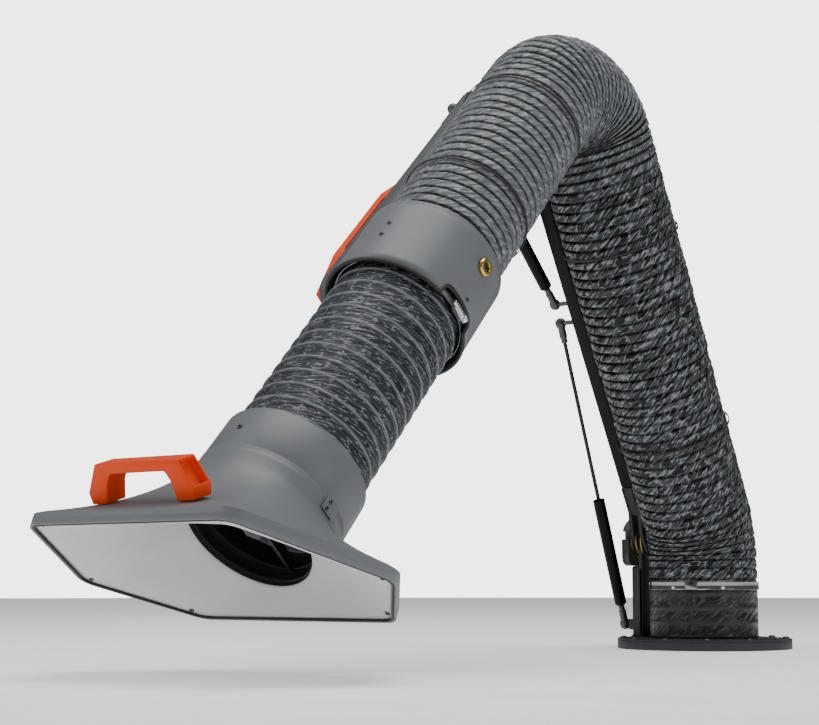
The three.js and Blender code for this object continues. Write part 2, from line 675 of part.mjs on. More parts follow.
// Hose run: stations [reach, height, tilt from vertical] along straight legs and round bends
const leanDir = (tilt) => new THREE.Vector2(Math.sin(rad(tilt)), Math.cos(rad(tilt)));
const bendVertex = new THREE.Vector2(0, BEND_Z);
const headPoint = new THREE.Vector2(HEAD_REACH, HEAD_Z);
const lowDir = leanDir(HOSE_LEAN);
const upDir = leanDir(hoseTilt);
const spread = lowDir.x * -upDir.y + lowDir.y * upDir.x;
const toHead = headPoint.clone().sub(bendVertex);
const vertexAt = (toHead.x * -upDir.y + toHead.y * upDir.x) / spread;
const elbowVertex = bendVertex.clone().addScaledVector(lowDir, vertexAt);
const headAt = elbowVertex.distanceTo(headPoint);
const baseTangent = BEND_R * Math.tan(rad(HOSE_LEAN / 2));
const elbowTangent = ELBOW_R * Math.tan(rad((hoseTilt - HOSE_LEAN) / 2));

function along(vertex, tilt, distance) {
  const p = vertex.clone().addScaledVector(leanDir(tilt), distance);
  return { p, tilt };
}

function bend(vertex, tilt0, tilt1, radius, tangent, share) {
  const start = vertex.clone().addScaledVector(leanDir(tilt0), -tangent);
  const inward = new THREE.Vector2(leanDir(tilt0).y, -leanDir(tilt0).x);
  const centre = start.addScaledVector(inward, radius);
  const tilt = tilt0 + (tilt1 - tilt0) * share;
  const d = leanDir(tilt);
  return { p: centre.addScaledVector(new THREE.Vector2(d.y, -d.x), -radius), tilt };
}

function hoseRing(station, radius) {
  const d = leanDir(station.tilt);
  return Array.from({ length: HOSE_SIDES }, (_, k) => {
    const a = (2 * Math.PI * (k + 0.5)) / HOSE_SIDES;
    const side = radius * Math.sin(a);
    return reach(station.p.x - d.y * side, station.p.y + d.x * side, radius * Math.cos(a));
  });
}

function hose(name, place, length, ribs, borePerRib = 0.2) {
  const outer = [];
  for (let i = 0; i < ribs; i += 1) {
    outer.push(hoseRing(place((length * i) / ribs), HOSE_VALLEY_R));
    outer.push(hoseRing(place((length * (i + 0.5)) / ribs), HOSE_RIB_R));
  }
  outer.push(hoseRing(place(length), HOSE_VALLEY_R));
  const inside = [];
  const steps = Math.max(1, Math.round(ribs * borePerRib));
  for (let i = steps; i >= 0; i -= 1) inside.push(hoseRing(place((length * i) / steps), HOSE_BORE_R));
  add(name, skin(outer.concat(inside)), HOSE, 0.6, 0);
}

const ribsFor = (length, pitch) => Math.max(2, Math.round(length / pitch));
const stubStart = TABLE_TOP + GAP;
const stubLength = STUB_TOP - stubStart;
hose('hose_stub', (s) => along(new THREE.Vector2(0, stubStart), 0, s), stubLength,
  ribsFor(stubLength, PITCH_STRETCHED));

const baseArc = BEND_R * rad(HOSE_LEAN);
const baseLead = BEND_Z - baseTangent - STUB_TOP - GAP;
const baseTail = BASE_BEND_LEG - baseTangent;
const baseRun = baseLead + baseArc + baseTail;
hose('hose_base_bend', (s) => {
  if (s < baseLead) return along(new THREE.Vector2(0, STUB_TOP + GAP), 0, s);
  if (s > baseLead + baseArc) return along(bendVertex, HOSE_LEAN, baseTangent + s - baseLead - baseArc);
  return bend(bendVertex, 0, HOSE_LEAN, BEND_R, baseTangent, (s - baseLead) / baseArc);
}, baseRun, ribsFor(baseRun, PITCH_SLACK), 1);

const lowStart = BASE_BEND_LEG + GAP;
const lowEnd = vertexAt - elbowTangent - ELBOW_LEG;
hose('hose_lower', (s) => along(bendVertex, HOSE_LEAN, lowStart + s), lowEnd - lowStart,
  ribsFor(lowEnd - lowStart, PITCH_SLACK));

const elbowArc = ELBOW_R * rad(hoseTilt - HOSE_LEAN);
const elbowRun = elbowArc + 2 * ELBOW_LEG - 2 * GAP;
hose('hose_elbow', (s) => {
  const t = s + GAP;
  if (t < ELBOW_LEG) return along(elbowVertex, HOSE_LEAN, t - ELBOW_LEG - elbowTangent);
  if (t > ELBOW_LEG + elbowArc) return along(elbowVertex, hoseTilt, elbowTangent + t - ELBOW_LEG - elbowArc);
  return bend(elbowVertex, HOSE_LEAN, hoseTilt, ELBOW_R, elbowTangent, (t - ELBOW_LEG) / elbowArc);
}, elbowRun, ribsFor(elbowRun, PITCH_SLACK) + 4, 1);

const highStart = elbowTangent + ELBOW_LEG;
const highEnd = headAt + SLEEVE_TOP / 2;
hose('hose_upper', (s) => along(elbowVertex, hoseTilt, highStart + s), highEnd - highStart,
  ribsFor(highEnd - highStart, PITCH_SLACK));
hose('hose_head', (s) => along(headPoint, hoseTilt, HEAD_HOSE_START + s), HEAD_HOSE_LEN,
  ribsFor(HEAD_HOSE_LEN, PITCH_STRETCHED));

// Straps and band clamps round the hose
const bandIn = (HOSE_RIB_R + GAP) * CHORD;
const bandOut = bandIn + CLAMP_T;
add('base_band_clamp', join(
  ring(bandOut, bandIn, CLAMP_Z - CLAMP_W / 2, CLAMP_Z + CLAMP_W / 2),
  block(bandIn + GAP, bandOut + BUCKLE_T, -BUCKLE_HALF, BUCKLE_HALF, CLAMP_Z - CLAMP_W / 3,
    CLAMP_Z + CLAMP_W / 3).rotateZ(rad(BUCKLE_TURN)),
), CHROME, 0.25, 1);
const hoseFrame = (vertex, tilt, distance) => {
  const at = along(vertex, tilt, distance).p;
  return linkFrame(reach(at.x, at.y), tilt);
};
const strap = (frame, name, lug) => {
  const loop = ring(bandOut, bandIn, -STRAP_W / 2, STRAP_W / 2);
  add(name, lug ? join(loop, lug) : loop, BLACK, 0.6, 0, frame);
};
// Straps sit on the rib nearest to where they are wanted
function ribNear(start, length, pitch, wanted) {
  const step = length / ribsFor(length, pitch);
  return start + (Math.round((wanted - start) / step - 0.5) + 0.5) * step;
}
const lowRib = (wanted) => ribNear(lowStart, lowEnd - lowStart, PITCH_SLACK, wanted);
const highRib = (wanted) => ribNear(highStart, highEnd - highStart, PITCH_SLACK, wanted);
strap(hoseFrame(bendVertex, HOSE_LEAN, lowRib(LOW_STRAP_FIRST)), 'lower_strap_first');
strap(hoseFrame(bendVertex, HOSE_LEAN, lowRib(LOW_STRAP_SECOND)), 'lower_strap_second');
const strapLug = block(barInner + GAP, -bandIn - GAP, -LUG_HALF, LUG_HALF, -STRAP_W / 2, STRAP_W / 2);
strap(hoseFrame(elbowVertex, hoseTilt, highRib(HIGH_STRAP_FIRST)), 'upper_strap_first', strapLug);
strap(hoseFrame(elbowVertex, hoseTilt, highRib(HIGH_STRAP_SECOND)), 'upper_strap_second', strapLug);

// Sleeve over the head joint
const crossHole = (r, x0, x1) => rod(r, [x0, 0, 0], [x1, 0, 0]);
const sleeveIn = SLEEVE_R - SLEEVE_WALL;
const notchOutline = rounded([
  [-NOTCH_HALF, notchStart, NOTCH_R], [NOTCH_HALF, notchStart, NOTCH_R],
  [NOTCH_HALF, SLEEVE_END + 2 * TRIM_H, 0], [-NOTCH_HALF, SLEEVE_END + 2 * TRIM_H, 0],
]);
const notch = plateX(notchOutline, SLEEVE_R / 2, SLEEVE_R + 2 * TRIM_LIP);
add('sleeve', cut(ring(SLEEVE_R, sleeveIn, SLEEVE_TOP, SLEEVE_END), notch,
  crossHole(BOLT_R + RUN, -SLEEVE_R - 1, SLEEVE_R + 1)), GREY, 0.45, 0.3, headFrame);
add('sleeve_edge_trim', cut(ring(SLEEVE_R + TRIM_LIP, sleeveIn - TRIM_LIP, SLEEVE_END + GAP,
  SLEEVE_END + GAP + TRIM_H), notch), BLACK, 0.7, 0, headFrame);
add('joint_pipe', cut(ring(PIPE_R, PIPE_R - PIPE_WALL, SLEEVE_TOP - PIPE_ABOVE, SLEEVE_END + PIPE_BELOW),
  crossHole(BOLT_R + RUN, -PIPE_R - 1, PIPE_R + 1)), ANTHRACITE, 0.5, 0.3, headFrame);
const wormSpan = [wormQ - WORM_W / 2, wormQ + WORM_W / 2];
const wormHouse = block(bandIn + GAP, SLEEVE_R, -WORM_TAIL, WORM_NOSE, ...wormSpan);
add('worm_clamp', join(ring(bandOut, bandIn, ...wormSpan), wormHouse), CHROME, 0.25, 1, headFrame);

// Pivot bolts through sleeve and pipe into the yoke
const pipeIn = PIPE_R - PIPE_WALL;
const yokeEnd = pipeIn - YOKE_PLAY;
const boltTip = yokeEnd - BOLT_IN_YOKE;
const rightHead = SLEEVE_R + GAP;
add('pivot_bolt_right', join(rod(BOLT_R, [boltTip, 0, 0], [rightHead + 1, 0, 0]),
  rod(BOLT_HEAD_R, [rightHead, 0, 0], [rightHead + BOLT_HEAD_H, 0, 0])), ZINC, 0.3, 0.9, headFrame);
const jamNut = barOuter + BAR_WALL + GAP;
add('pivot_bolt_left', join(rod(BOLT_R, [-boltTip, 0, 0], [barOuter + GAP, 0, 0]),
  rod(BOLT_HEAD_R, [jamNut, 0, 0], [jamNut + BOLT_HEAD_H, 0, 0], 6)), ZINC, 0.3, 0.9, headFrame);

// Head link inside the hose: yoke, stay tube and end nut
add('yoke', cut(join(
  block(-yokeEnd, yokeEnd, -YOKE_H / 2, YOKE_H / 2, -YOKE_D / 2, YOKE_D / 2),
  rod(STAY_R + YOKE_BOSS, [0, 0, -YOKE_D / 2], [0, 0, YOKE_D / 2 + YOKE_NECK]),
), crossHole(BOLT_R + RUN, boltTip - 1, yokeEnd + 1),
crossHole(BOLT_R + RUN, -boltTip + 1, -yokeEnd - 1)), ANTHRACITE, 0.5, 0.4, headFrame);
const stayStart = YOKE_D / 2 + YOKE_NECK + GAP;
const stayEnd = hubQ + HUB_LEN + 2 * GAP;
add('stay_tube', ring(STAY_R, STAY_R - STAY_WALL, stayStart, stayEnd, ROUND_SMALL),
  CHROME, 0.4, 0.8, headFrame);
add('stay_nut', rod(HUB_R - NUT_INSET, [0, 0, stayEnd + GAP], [0, 0, stayEnd + GAP + NUT_T], 6),
  CHROME, 0.35, 0.9, headFrame);

// Collar over the hose end, neck and spider
add('hood_collar', turned([
  [pipeIn, collarTop], [PIPE_R, collarTop], [PIPE_R, collarEnd - COLLAR_FLOOR],
  [COLLAR_R - COLLAR_WALL, collarEnd - COLLAR_FLOOR], [COLLAR_R - COLLAR_WALL, collarTop],
  [COLLAR_R, collarTop], [COLLAR_R, collarEnd], [pipeIn, collarEnd],
]), GREY, 0.45, 0.3, headFrame);
const neckR = SHELL_R - NECK_INSET;
add('hood_neck', ring(neckR, neckR - PIPE_WALL, collarEnd + GAP, neckEnd), BLACK, 0.6, 0, headFrame);
const spokeQ = hubQ + HUB_LEN / 2;
const spokeEnd = neckR - PIPE_WALL - GAP;
const spoke = (turn) => block(HUB_R - 1, spokeEnd, -SPOKE_T / 2, SPOKE_T / 2,
  spokeQ - SPOKE_W / 2, spokeQ + SPOKE_W / 2).rotateZ(rad(turn));
add('hood_spider', join(ring(HUB_R, STAY_R + RUN, hubQ, hubQ + HUB_LEN, ROUND_SMALL),
  spoke(0), spoke(90), spoke(180), spoke(270)), BLACK, 0.5, 0.2, headFrame);

// Hood: six-sided opening in a tilted plane, measured from where the hose axis meets it
const openCorners = [
  [OPEN_TOP_HALF, OPEN_TOP], [OPEN_MID_HALF, OPEN_MID], [OPEN_BOTTOM_HALF, OPEN_BOTTOM],
  [-OPEN_BOTTOM_HALF, OPEN_BOTTOM], [-OPEN_MID_HALF, OPEN_MID], [-OPEN_TOP_HALF, OPEN_TOP],
];

function insetCorners(inset) {
  const n = openCorners.length;
  const edges = openCorners.map((a, i) => {
    const b = openCorners[(i + 1) % n];
    const d = new THREE.Vector2(b[0] - a[0], b[1] - a[1]).normalize();
    const inward = new THREE.Vector2(d.y, -d.x);
    return { p: new THREE.Vector2(...a).addScaledVector(inward, inset), d };
  });
  return edges.map((e, i) => {
    const f = edges[(i + n - 1) % n];
    const w = e.p.clone().sub(f.p);
    const t = (w.x * e.d.y - w.y * e.d.x) / (f.d.x * e.d.y - f.d.y * e.d.x);
    const c = f.p.clone().addScaledVector(f.d, t);
    return [c.x, c.y, OPEN_CORNER_R - inset];
  });
}

// Point where a ray from the hose axis meets the rounded six-sided outline
function outlineAt(angle, outline) {
  const d = new THREE.Vector2(Math.cos(angle), Math.sin(angle));
  for (let i = 0; i < outline.length; i += 1) {
    const a = outline[i];
    const e = outline[(i + 1) % outline.length].clone().sub(a);
    const det = d.x * -e.y + d.y * e.x;
    const s = (a.x * -e.y + a.y * e.x) / det;
    const t = (d.x * a.y - d.y * a.x) / det;
    if (s > 0 && t >= -1e-9 && t <= 1 + 1e-9) return d.multiplyScalar(s);
  }
  throw new Error('the ray misses the hood outline');
}

const tiltSin = Math.sin(rad(OPEN_TILT));
const tiltCos = Math.cos(rad(OPEN_TILT));
const openPoint = (p, depth) => new THREE.Vector3(
  p.x, p.y * tiltCos + depth * tiltSin, openQ + p.y * tiltSin - depth * tiltCos);
const hoodAngles = Array.from({ length: HOOD_SIDES }, (_, k) => (2 * Math.PI * k) / HOOD_SIDES);

function openRing(inset, depth) {
  const outline = rounded(insetCorners(inset), 8);
  return hoodAngles.map((a) => openPoint(outlineAt(a, outline), depth));
}

const roundRing = (r, q) => hoodAngles.map((a) => new THREE.Vector3(r * Math.cos(a), r * Math.sin(a), q));

// Ring between two rings, with its own shares outwards and along the axis
function flared(from, to, outwards, onwards) {
  return from.map((p, k) => new THREE.Vector3(p.x + (to[k].x - p.x) * outwards,
    p.y + (to[k].y - p.y) * outwards, p.z + (to[k].z - p.z) * onwards));
}

const shellStart = collarEnd + GAP;
const flareSteps = [0.2, 0.4, 0.6, 0.8];
function shellSide(inset) {
  const start = roundRing(SHELL_R - inset, flareStart);
  const rimTop = openRing(inset, RIM_H);
  return [roundRing(SHELL_R - inset, shellStart), start,
    ...flareSteps.map((t) => flared(start, rimTop, t ** FLARE, t)), rimTop, openRing(inset, 0)];
}
const shell = skin([...shellSide(0), ...shellSide(SHELL_WALL).reverse()]);
add('hood_shell', shell, GREY, 0.45, 0.3, headFrame);

const sealIn = SHELL_WALL + GAP;
const linerIn = sealIn + SEAL_W + GAP;
add('hood_edge_seal', skin([openRing(sealIn, SEAL_SINK), openRing(sealIn, SEAL_DEPTH),
  openRing(sealIn + SEAL_W, SEAL_DEPTH), openRing(sealIn + SEAL_W, SEAL_SINK)]), BLACK, 0.7, 0, headFrame);
const linerHole = roundRing(neckR - PIPE_WALL, neckEnd + GAP + LINER_T);
const linerRim = openRing(linerIn, LINER_SINK);
const linerSteps = flareSteps.map((t) => flared(linerHole, linerRim, t, 1 - (1 - t) ** LINER_CURVE));
const linerFace = [linerHole, ...linerSteps, linerRim];
const linerDrop = new THREE.Vector3(0, LINER_T * tiltSin, -LINER_T * tiltCos);
const linerBack = linerFace.map((r) => r.map((p) => p.clone().add(linerDrop))).reverse();
add('hood_liner', skin([...linerFace, ...linerBack]), LIGHT, 0.5, 0.1, headFrame);

// Cover plate on the hood neck and the bow handle on the hood
const plateStart = shellStart + PLATE_AFTER;
const plateIn = SHELL_R + GAP;
add('neck_cover_plate', block(plateIn, plateIn + PLATE_T, -PLATE_HALF, PLATE_HALF, plateStart,
  plateStart + PLATE_LEN), GREY, 0.5, 0.3, headFrame);
const gripIn = GRIP_HALF - GRIP_FOOT;
const gripKnee = gripIn - GRIP_KNEE_IN;
const gripSpan = gripIn - GRIP_LEG;
const gripTop = GRIP_RISE + GRIP_T;
const gripSide = (s) => [
  [s * gripSpan, GRIP_RISE, GRIP_IN_R], [s * gripKnee, GRIP_KNEE, GRIP_IN_R], [s * gripIn, 0, 0],
  [s * GRIP_HALF, 0, 0], [s * (GRIP_HALF + GRIP_BULGE), GRIP_HEEL, GRIP_HEEL_R],
  [s * (GRIP_HALF - GRIP_TOP_IN), gripTop, GRIP_OUT_R],
];
const hoodGrip = rounded([...gripSide(1), ...gripSide(-1).reverse()]);

// The handle leans with the flare and is lowered until its feet rest on the shell
const rimY = OPEN_TOP * tiltCos + RIM_H * tiltSin;
const rimQ = openQ + OPEN_TOP * tiltSin - RIM_H * tiltCos;
const flareSlope = (FLARE * (rimY - SHELL_R) * GRIP_SHARE ** (FLARE - 1)) / (rimQ - flareStart);
const seatUp = new THREE.Vector3(0, Math.cos(Math.atan(flareSlope)), -Math.sin(Math.atan(flareSlope)));
const seatOver = new THREE.Vector3(0, rimY, flareStart + (rimQ - flareStart) * GRIP_SHARE)
  .addScaledVector(seatUp, RIM_H);
const seatTurn = new THREE.Matrix4().makeRotationX(-Math.atan(flareSlope));
const shellMesh = new THREE.Mesh(shell, new THREE.MeshBasicMaterial({ side: THREE.DoubleSide }));
const footPoints = [-1, 1].flatMap((s) => [gripIn, (gripIn + GRIP_HALF) / 2, GRIP_HALF].flatMap((x) => (
  [-0.5, -0.25, 0, 0.25, 0.5].map((share) => new THREE.Vector3(s * x, 0, share * GRIP_W)))));
const drops = footPoints.map((p) => {
  const from = p.applyMatrix4(seatTurn).add(seatOver);
  return new THREE.Raycaster(from, seatUp.clone().negate()).intersectObject(shellMesh)[0].distance;
});
const seat = seatOver.addScaledVector(seatUp, GAP - Math.min(...drops));
add('hood_handle', extruded(hoodGrip, GRIP_W).translate(0, 0, -GRIP_W / 2)
  .applyMatrix4(seatTurn.setPosition(seat)), ORANGE, 0.5, 0, headFrame);

export default root;
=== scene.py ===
import math

import bmesh
import bpy
import numpy as np
from mathutils import Matrix, Vector


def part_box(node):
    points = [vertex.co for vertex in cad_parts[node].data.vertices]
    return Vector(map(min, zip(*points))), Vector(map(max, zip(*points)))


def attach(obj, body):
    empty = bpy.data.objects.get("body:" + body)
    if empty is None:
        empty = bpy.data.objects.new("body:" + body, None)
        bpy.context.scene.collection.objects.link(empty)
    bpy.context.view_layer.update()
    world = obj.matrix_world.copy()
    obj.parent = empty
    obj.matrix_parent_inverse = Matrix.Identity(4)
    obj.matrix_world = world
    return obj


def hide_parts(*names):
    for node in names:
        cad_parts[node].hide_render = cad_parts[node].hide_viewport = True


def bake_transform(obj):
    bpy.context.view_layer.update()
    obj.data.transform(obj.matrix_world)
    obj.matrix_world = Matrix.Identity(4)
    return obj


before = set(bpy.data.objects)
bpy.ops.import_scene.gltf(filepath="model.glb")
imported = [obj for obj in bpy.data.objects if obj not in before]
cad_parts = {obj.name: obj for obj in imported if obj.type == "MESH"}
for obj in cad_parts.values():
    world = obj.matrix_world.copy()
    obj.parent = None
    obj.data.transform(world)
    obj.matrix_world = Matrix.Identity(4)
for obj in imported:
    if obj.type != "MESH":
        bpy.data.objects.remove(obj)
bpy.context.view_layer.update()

# Camera: stands to the front and right of the arm at flange height and looks slightly up.
# Its place and lens were solved from the arm's own skeleton.
camera = bpy.data.objects.new("camera", bpy.data.cameras.new("camera"))
bpy.context.collection.objects.link(camera)
camera.location = (1.2442, -2.34405, 0.09635)
camera.rotation_mode = "QUATERNION"
camera.rotation_quaternion = Vector((-0.6035, 0.7874, 0.1257)).to_track_quat("-Z", "Y")
camera.data.lens = 76.44
camera.data.sensor_width = 36
bpy.context.scene.camera = camera

# Studio: a white surround, a large soft box overhead, weaker ones on the left and right, and two
# upright strips that draw highlights on metal. The floor is a plain pale sheet under the flange.
world = bpy.data.worlds.new("studio")
bpy.context.scene.world = world
world.use_nodes = True
surround = world.node_tree.nodes["Background"]
surround.inputs["Color"].default_value = (1, 1, 1, 1)
surround.inputs["Strength"].default_value = 0.20
backdrop = world.node_tree.nodes.new("ShaderNodeBackground")
backdrop.inputs["Strength"].default_value = 5.0
rays = world.node_tree.nodes.new("ShaderNodeLightPath")
either = world.node_tree.nodes.new("ShaderNodeMixShader")
world.node_tree.links.new(rays.outputs["Is Camera Ray"], either.inputs[0])
world.node_tree.links.new(surround.outputs[0], either.inputs[1])
world.node_tree.links.new(backdrop.outputs[0], either.inputs[2])
world.node_tree.links.new(either.outputs[0], world.node_tree.nodes["World Output"].inputs[0])


def soft_box(name, place, target, wide, high, power):
    light = bpy.data.lights.new(name, "AREA")
    light.shape = "RECTANGLE"
    light.size = wide
    light.size_y = high
    light.energy = power
    made = bpy.data.objects.new(name, light)
    bpy.context.collection.objects.link(made)
    made.location = place
    made.rotation_mode = "QUATERNION"
    made.rotation_quaternion = (Vector(target) - Vector(place)).to_track_quat("-Z", "Y")


soft_box("top_light", (0.2, -0.6, 3.2), (0, -0.5, 0.4), wide=2.6, high=2.6, power=84)
soft_box("key_light", (-1.4, -2.6, 2.4), (0, -0.5, 0.4), wide=1.4, high=1.4, power=22)
soft_box("side_light", (3.0, -0.2, 1.2), (0, -0.4, 0.4), wide=1.0, high=1.0, power=9)
soft_box("right_strip", (2.6, -1.0, 1.0), (0, 0, 0.5), wide=0.3, high=1.6, power=4)
soft_box("left_strip", (-1.7, -2.3, 1.0), (0, 0, 0.5), wide=0.3, high=1.6, power=4)


class Value:
    """A shader socket that takes part in sums and products."""

    def __init__(self, tree, socket):
        self.tree = tree
        self.socket = socket

    def math(self, operation, first, second):
        node = self.tree.nodes.new("ShaderNodeMath")
        node.operation = operation
        for socket, value in zip(node.inputs, (first, second)):
            if isinstance(value, Value):
                self.tree.links.new(value.socket, socket)
            else:
                socket.default_value = value
        return Value(self.tree, node.outputs[0])

    def __add__(self, other):
        return self.math("ADD", self, other)

    def __sub__(self, other):
        return self.math("SUBTRACT", self, other)

    def __rsub__(self, other):
        return self.math("SUBTRACT", other, self)

    def __mul__(self, other):
        return self.math("MULTIPLY", self, other)


class Finish:
    """One surface finish on a Principled shader, patterned in the piece's own coordinates."""

    def __init__(self, name):
        self.material = bpy.data.materials.new(name)
        self.material.use_nodes = True
        self.tree = self.material.node_tree
        self.shader = self.tree.nodes["Principled BSDF"]
        self.place = self.node("ShaderNodeTexCoord", output="Object")

    def put(self, socket, value):
        if isinstance(value, Value):
            self.tree.links.new(value.socket, socket)
        else:
            socket.default_value = value

    def node(self, kind, settings=None, values=None, output=0):
        node = self.tree.nodes.new(kind)
        for key, value in (settings or {}).items():
            if key == "stops":
                while len(node.color_ramp.elements) < len(value):
                    node.color_ramp.elements.new(0.5)
                for stop, (at, shade) in zip(node.color_ramp.elements, value):
                    stop.position = at
                    stop.color = (shade, shade, shade, 1)
            else:
                setattr(node, key, value)
        for key, value in (values or {}).items():
            self.put(node.inputs[key], value)
        return Value(self.tree, node.outputs[output])

    def noise(self, scale, detail=2.0, vector=None):
        return self.node("ShaderNodeTexNoise", {}, {
            "Vector": vector or self.place, "Scale": scale, "Detail": detail}, "Fac")

    def ramp(self, value, *stops):
        return self.node("ShaderNodeValToRGB", {"stops": stops}, {"Fac": value})

    def blend(self, share, first, second):
        return self.node("ShaderNodeMix", {"data_type": "RGBA"}, {0: share, 6: first, 7: second}, 2)

    def bump(self, height, distance, strength=1.0):
        return self.node("ShaderNodeBump", {}, {
            "Height": height, "Distance": distance, "Strength": strength})

    def shade(self, **sockets):
        for key, value in sockets.items():
            self.put(self.shader.inputs[key.replace("_", " ")], value)
        return self


def tint(colour, factor):
    return tuple(min(1.0, part * factor) for part in colour) + (1.0,)


def coat(name, colour, rough, grain, depth, specular=0.5):
    """Powder coat or moulded skin: a fine grain, faint clouds of tone and soft gloss."""
    finish = Finish(name)
    fine = finish.noise(grain, 3.0)
    cloud = finish.noise(9.0, 2.0)
    tone = finish.ramp(cloud * 0.7 + fine * 0.3, (0.3, 0.0), (0.7, 1.0))
    return finish.shade(
        Base_Color=finish.blend(tone, tint(colour, 0.93), tint(colour, 1.07)),
        Roughness=fine * 0.12 + (rough - 0.06),
        Specular_IOR_Level=specular,
        Normal=finish.bump(fine, depth))


floor_finish = coat("floor_finish", (0.88, 0.88, 0.88), 0.75, 60.0, 0.0001)
floor_finish.shade(Emission_Color=(1, 1, 1, 1), Emission_Strength=0.45)
floor_mesh = bmesh.new()
bmesh.ops.create_circle(floor_mesh, cap_ends=True, segments=64, radius=9.0)
floor_data = bpy.data.meshes.new("floor")
floor_mesh.to_mesh(floor_data)
floor_mesh.free()
floor_data.materials.append(floor_finish.material)
floor = bpy.data.objects.new("floor", floor_data)
bpy.context.collection.objects.link(floor)

# Mounting flange and retaining ring: cast and turned steel with a textured dark powder coat,
# screwed together and down through the rim by twelve button-head screws.
anthracite = coat("anthracite_coat", (0.021, 0.023, 0.026), 0.55, 900.0, 0.00025)


def link_frame(origin, tilt):
    """Millimetres in a link's own frame to metres: Z along the link, X along the hinge."""
    return (Matrix.Translation(origin) @ Matrix.Rotation(math.radians(tilt), 4, "X")
            @ Matrix.Scale(0.001, 4))


def turned(outline, steps=96):
    """A turned piece about Z from a closed outline of radius and height."""
    bm = bmesh.new()
    verts = [bm.verts.new((radius, 0, height)) for radius, height in outline]
    edges = [bm.edges.new(pair) for pair in zip(verts, verts[1:] + verts[:1])]
    bmesh.ops.spin(bm, geom=verts + edges, cent=(0, 0, 0), axis=(0, 0, 1),
                   angle=math.tau, steps=steps, use_merge=True)
    bmesh.ops.remove_doubles(bm, verts=bm.verts[:], dist=1e-5)
    bmesh.ops.dissolve_degenerate(bm, edges=bm.edges[:], dist=1e-5)
    bmesh.ops.delete(bm, geom=[e for e in bm.edges if e.is_wire], context="EDGES")
    bmesh.ops.recalc_face_normals(bm, faces=bm.faces[:])
    return bm


def ring(outer, inner, low, high, steps=96):
    return turned([(inner, low), (outer, low), (outer, high), (inner, high)], steps)


def soften(bm, width, segments=3, angle=30):
    """Breaks every sharp edge by a small round."""
    sharp = [e for e in bm.edges
             if len(e.link_faces) == 2 and e.calc_face_angle() > math.radians(angle)]
    bmesh.ops.bevel(bm, geom=sharp, offset=width, segments=segments, profile=0.5,
                    affect="EDGES", material=-1, clamp_overlap=True)
    bmesh.ops.dissolve_degenerate(bm, edges=bm.edges[:], dist=1e-3)
    return bm


def gather(*shapes):
    """Several bmeshes as one."""
    whole = bmesh.new()
    for shape in shapes:
        mesh = bpy.data.meshes.new("part")
        shape.to_mesh(mesh)
        shape.free()
        whole.from_mesh(mesh)
        bpy.data.meshes.remove(mesh)
    return whole


def moved(bm, matrix):
    bmesh.ops.transform(bm, matrix=matrix, verts=bm.verts[:])
    return bm


def piece(name, bm, where, finish, body, slot, *nodes, sharp=35):
    """A finished piece that rides on a body and stands for the named solids."""
    mesh = bpy.data.meshes.new(name)
    bm.to_mesh(mesh)
    bm.free()
    mesh.transform(where)
    mesh.materials.append(finish.material)
    mesh.shade_smooth()
    mesh.set_sharp_from_angle(angle=math.radians(sharp))
    made = bpy.data.objects.new(name, mesh)
    bpy.context.collection.objects.link(made)
    if body:
        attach(made, body)
    if nodes:
        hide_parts(*nodes)
    return made


ground = link_frame((0, 0, 0), 0)
FLANGE_R, PIPE_BORE, RIM_TOP = 128, 72, 15
SCREW_COUNT, SCREW_CIRCLE = 12, 119
FINE = 128
flange = soften(turned([
    (PIPE_BORE, 0), (FLANGE_R, 0), (FLANGE_R, 12.5), (112.8, 12.5), (112.8, 5),
    (PIPE_BORE, 5)], FINE), 0.8)
piece("flange", flange, ground, anthracite, "base", "anthracite", "base_flange")
keeper = soften(ring(FLANGE_R, 109, 12.8, RIM_TOP, FINE), 0.6)
piece("keeper_ring", keeper, ground, anthracite, "base", "anthracite", "retaining_ring")


def metal(name, grain, dark, light, rough, span=0.2, metallic=1.0, detail=3.0):
    """Bare or plated metal: a fine grain in tone and gloss."""
    finish = Finish(name)
    fine = finish.noise(grain, detail)
    return finish.shade(
        Base_Color=finish.blend(fine, dark + (1,), light + (1,)),
        Metallic=metallic, Roughness=fine * span + rough)


screw_steel = metal("screw_steel", 1500.0, (0.05, 0.05, 0.055), (0.11, 0.11, 0.115), 0.22,
                    span=0.15, metallic=0.9, detail=2.0)


def screw(radius, height):
    """Button-head screw with a round recess, its seat at zero height."""
    dome = [(radius, 0), (radius, height * 0.25), (radius * 0.86, height * 0.68),
            (radius * 0.62, height * 0.95), (radius * 0.48, height), (radius * 0.44, height * 0.45)]
    return turned([(0, 0)] + dome + [(0, height * 0.4)], 24)


def around(radius, angle, height):
    turn = math.radians(angle)
    return Matrix.Translation((radius * math.cos(turn), radius * math.sin(turn), height))


rim_screws = gather(*[
    moved(screw(5.2, 3.0), around(SCREW_CIRCLE, 360 * i / SCREW_COUNT, RIM_TOP))
    for i in range(SCREW_COUNT)])
piece("flange_screws", rim_screws, ground, screw_steel, "base", "pin_steel")

# Turntable: turned steel plate with the same dark coat, held down by the retaining ring.
# The hose is clamped on the pipe that stands on it.
PIPE_R, PIPE_TOP = 73.8, 100
table = soften(turned([
    (PIPE_BORE, 7.6), (112, 7.6), (112, 12.2), (107.8, 12.2), (107.8, 16), (PIPE_R, 16),
    (PIPE_R, PIPE_TOP), (PIPE_BORE, PIPE_TOP)], FINE), 0.5)
piece("turning_plate", table, ground, anthracite, "turret", "anthracite", "turntable")

# Pillar, hinge drum and foot: bent and turned steel with the same dark coat. The drum is a thick
# cheek on the hinge pin, in a lighter satin coat, with a notch that stops the arm's travel.
HINGE_HEIGHT, LOWER_TILT = 0.160, 29.5
LINK_OUT, LINK_IN, LINK_HALF = -105, -83, 12


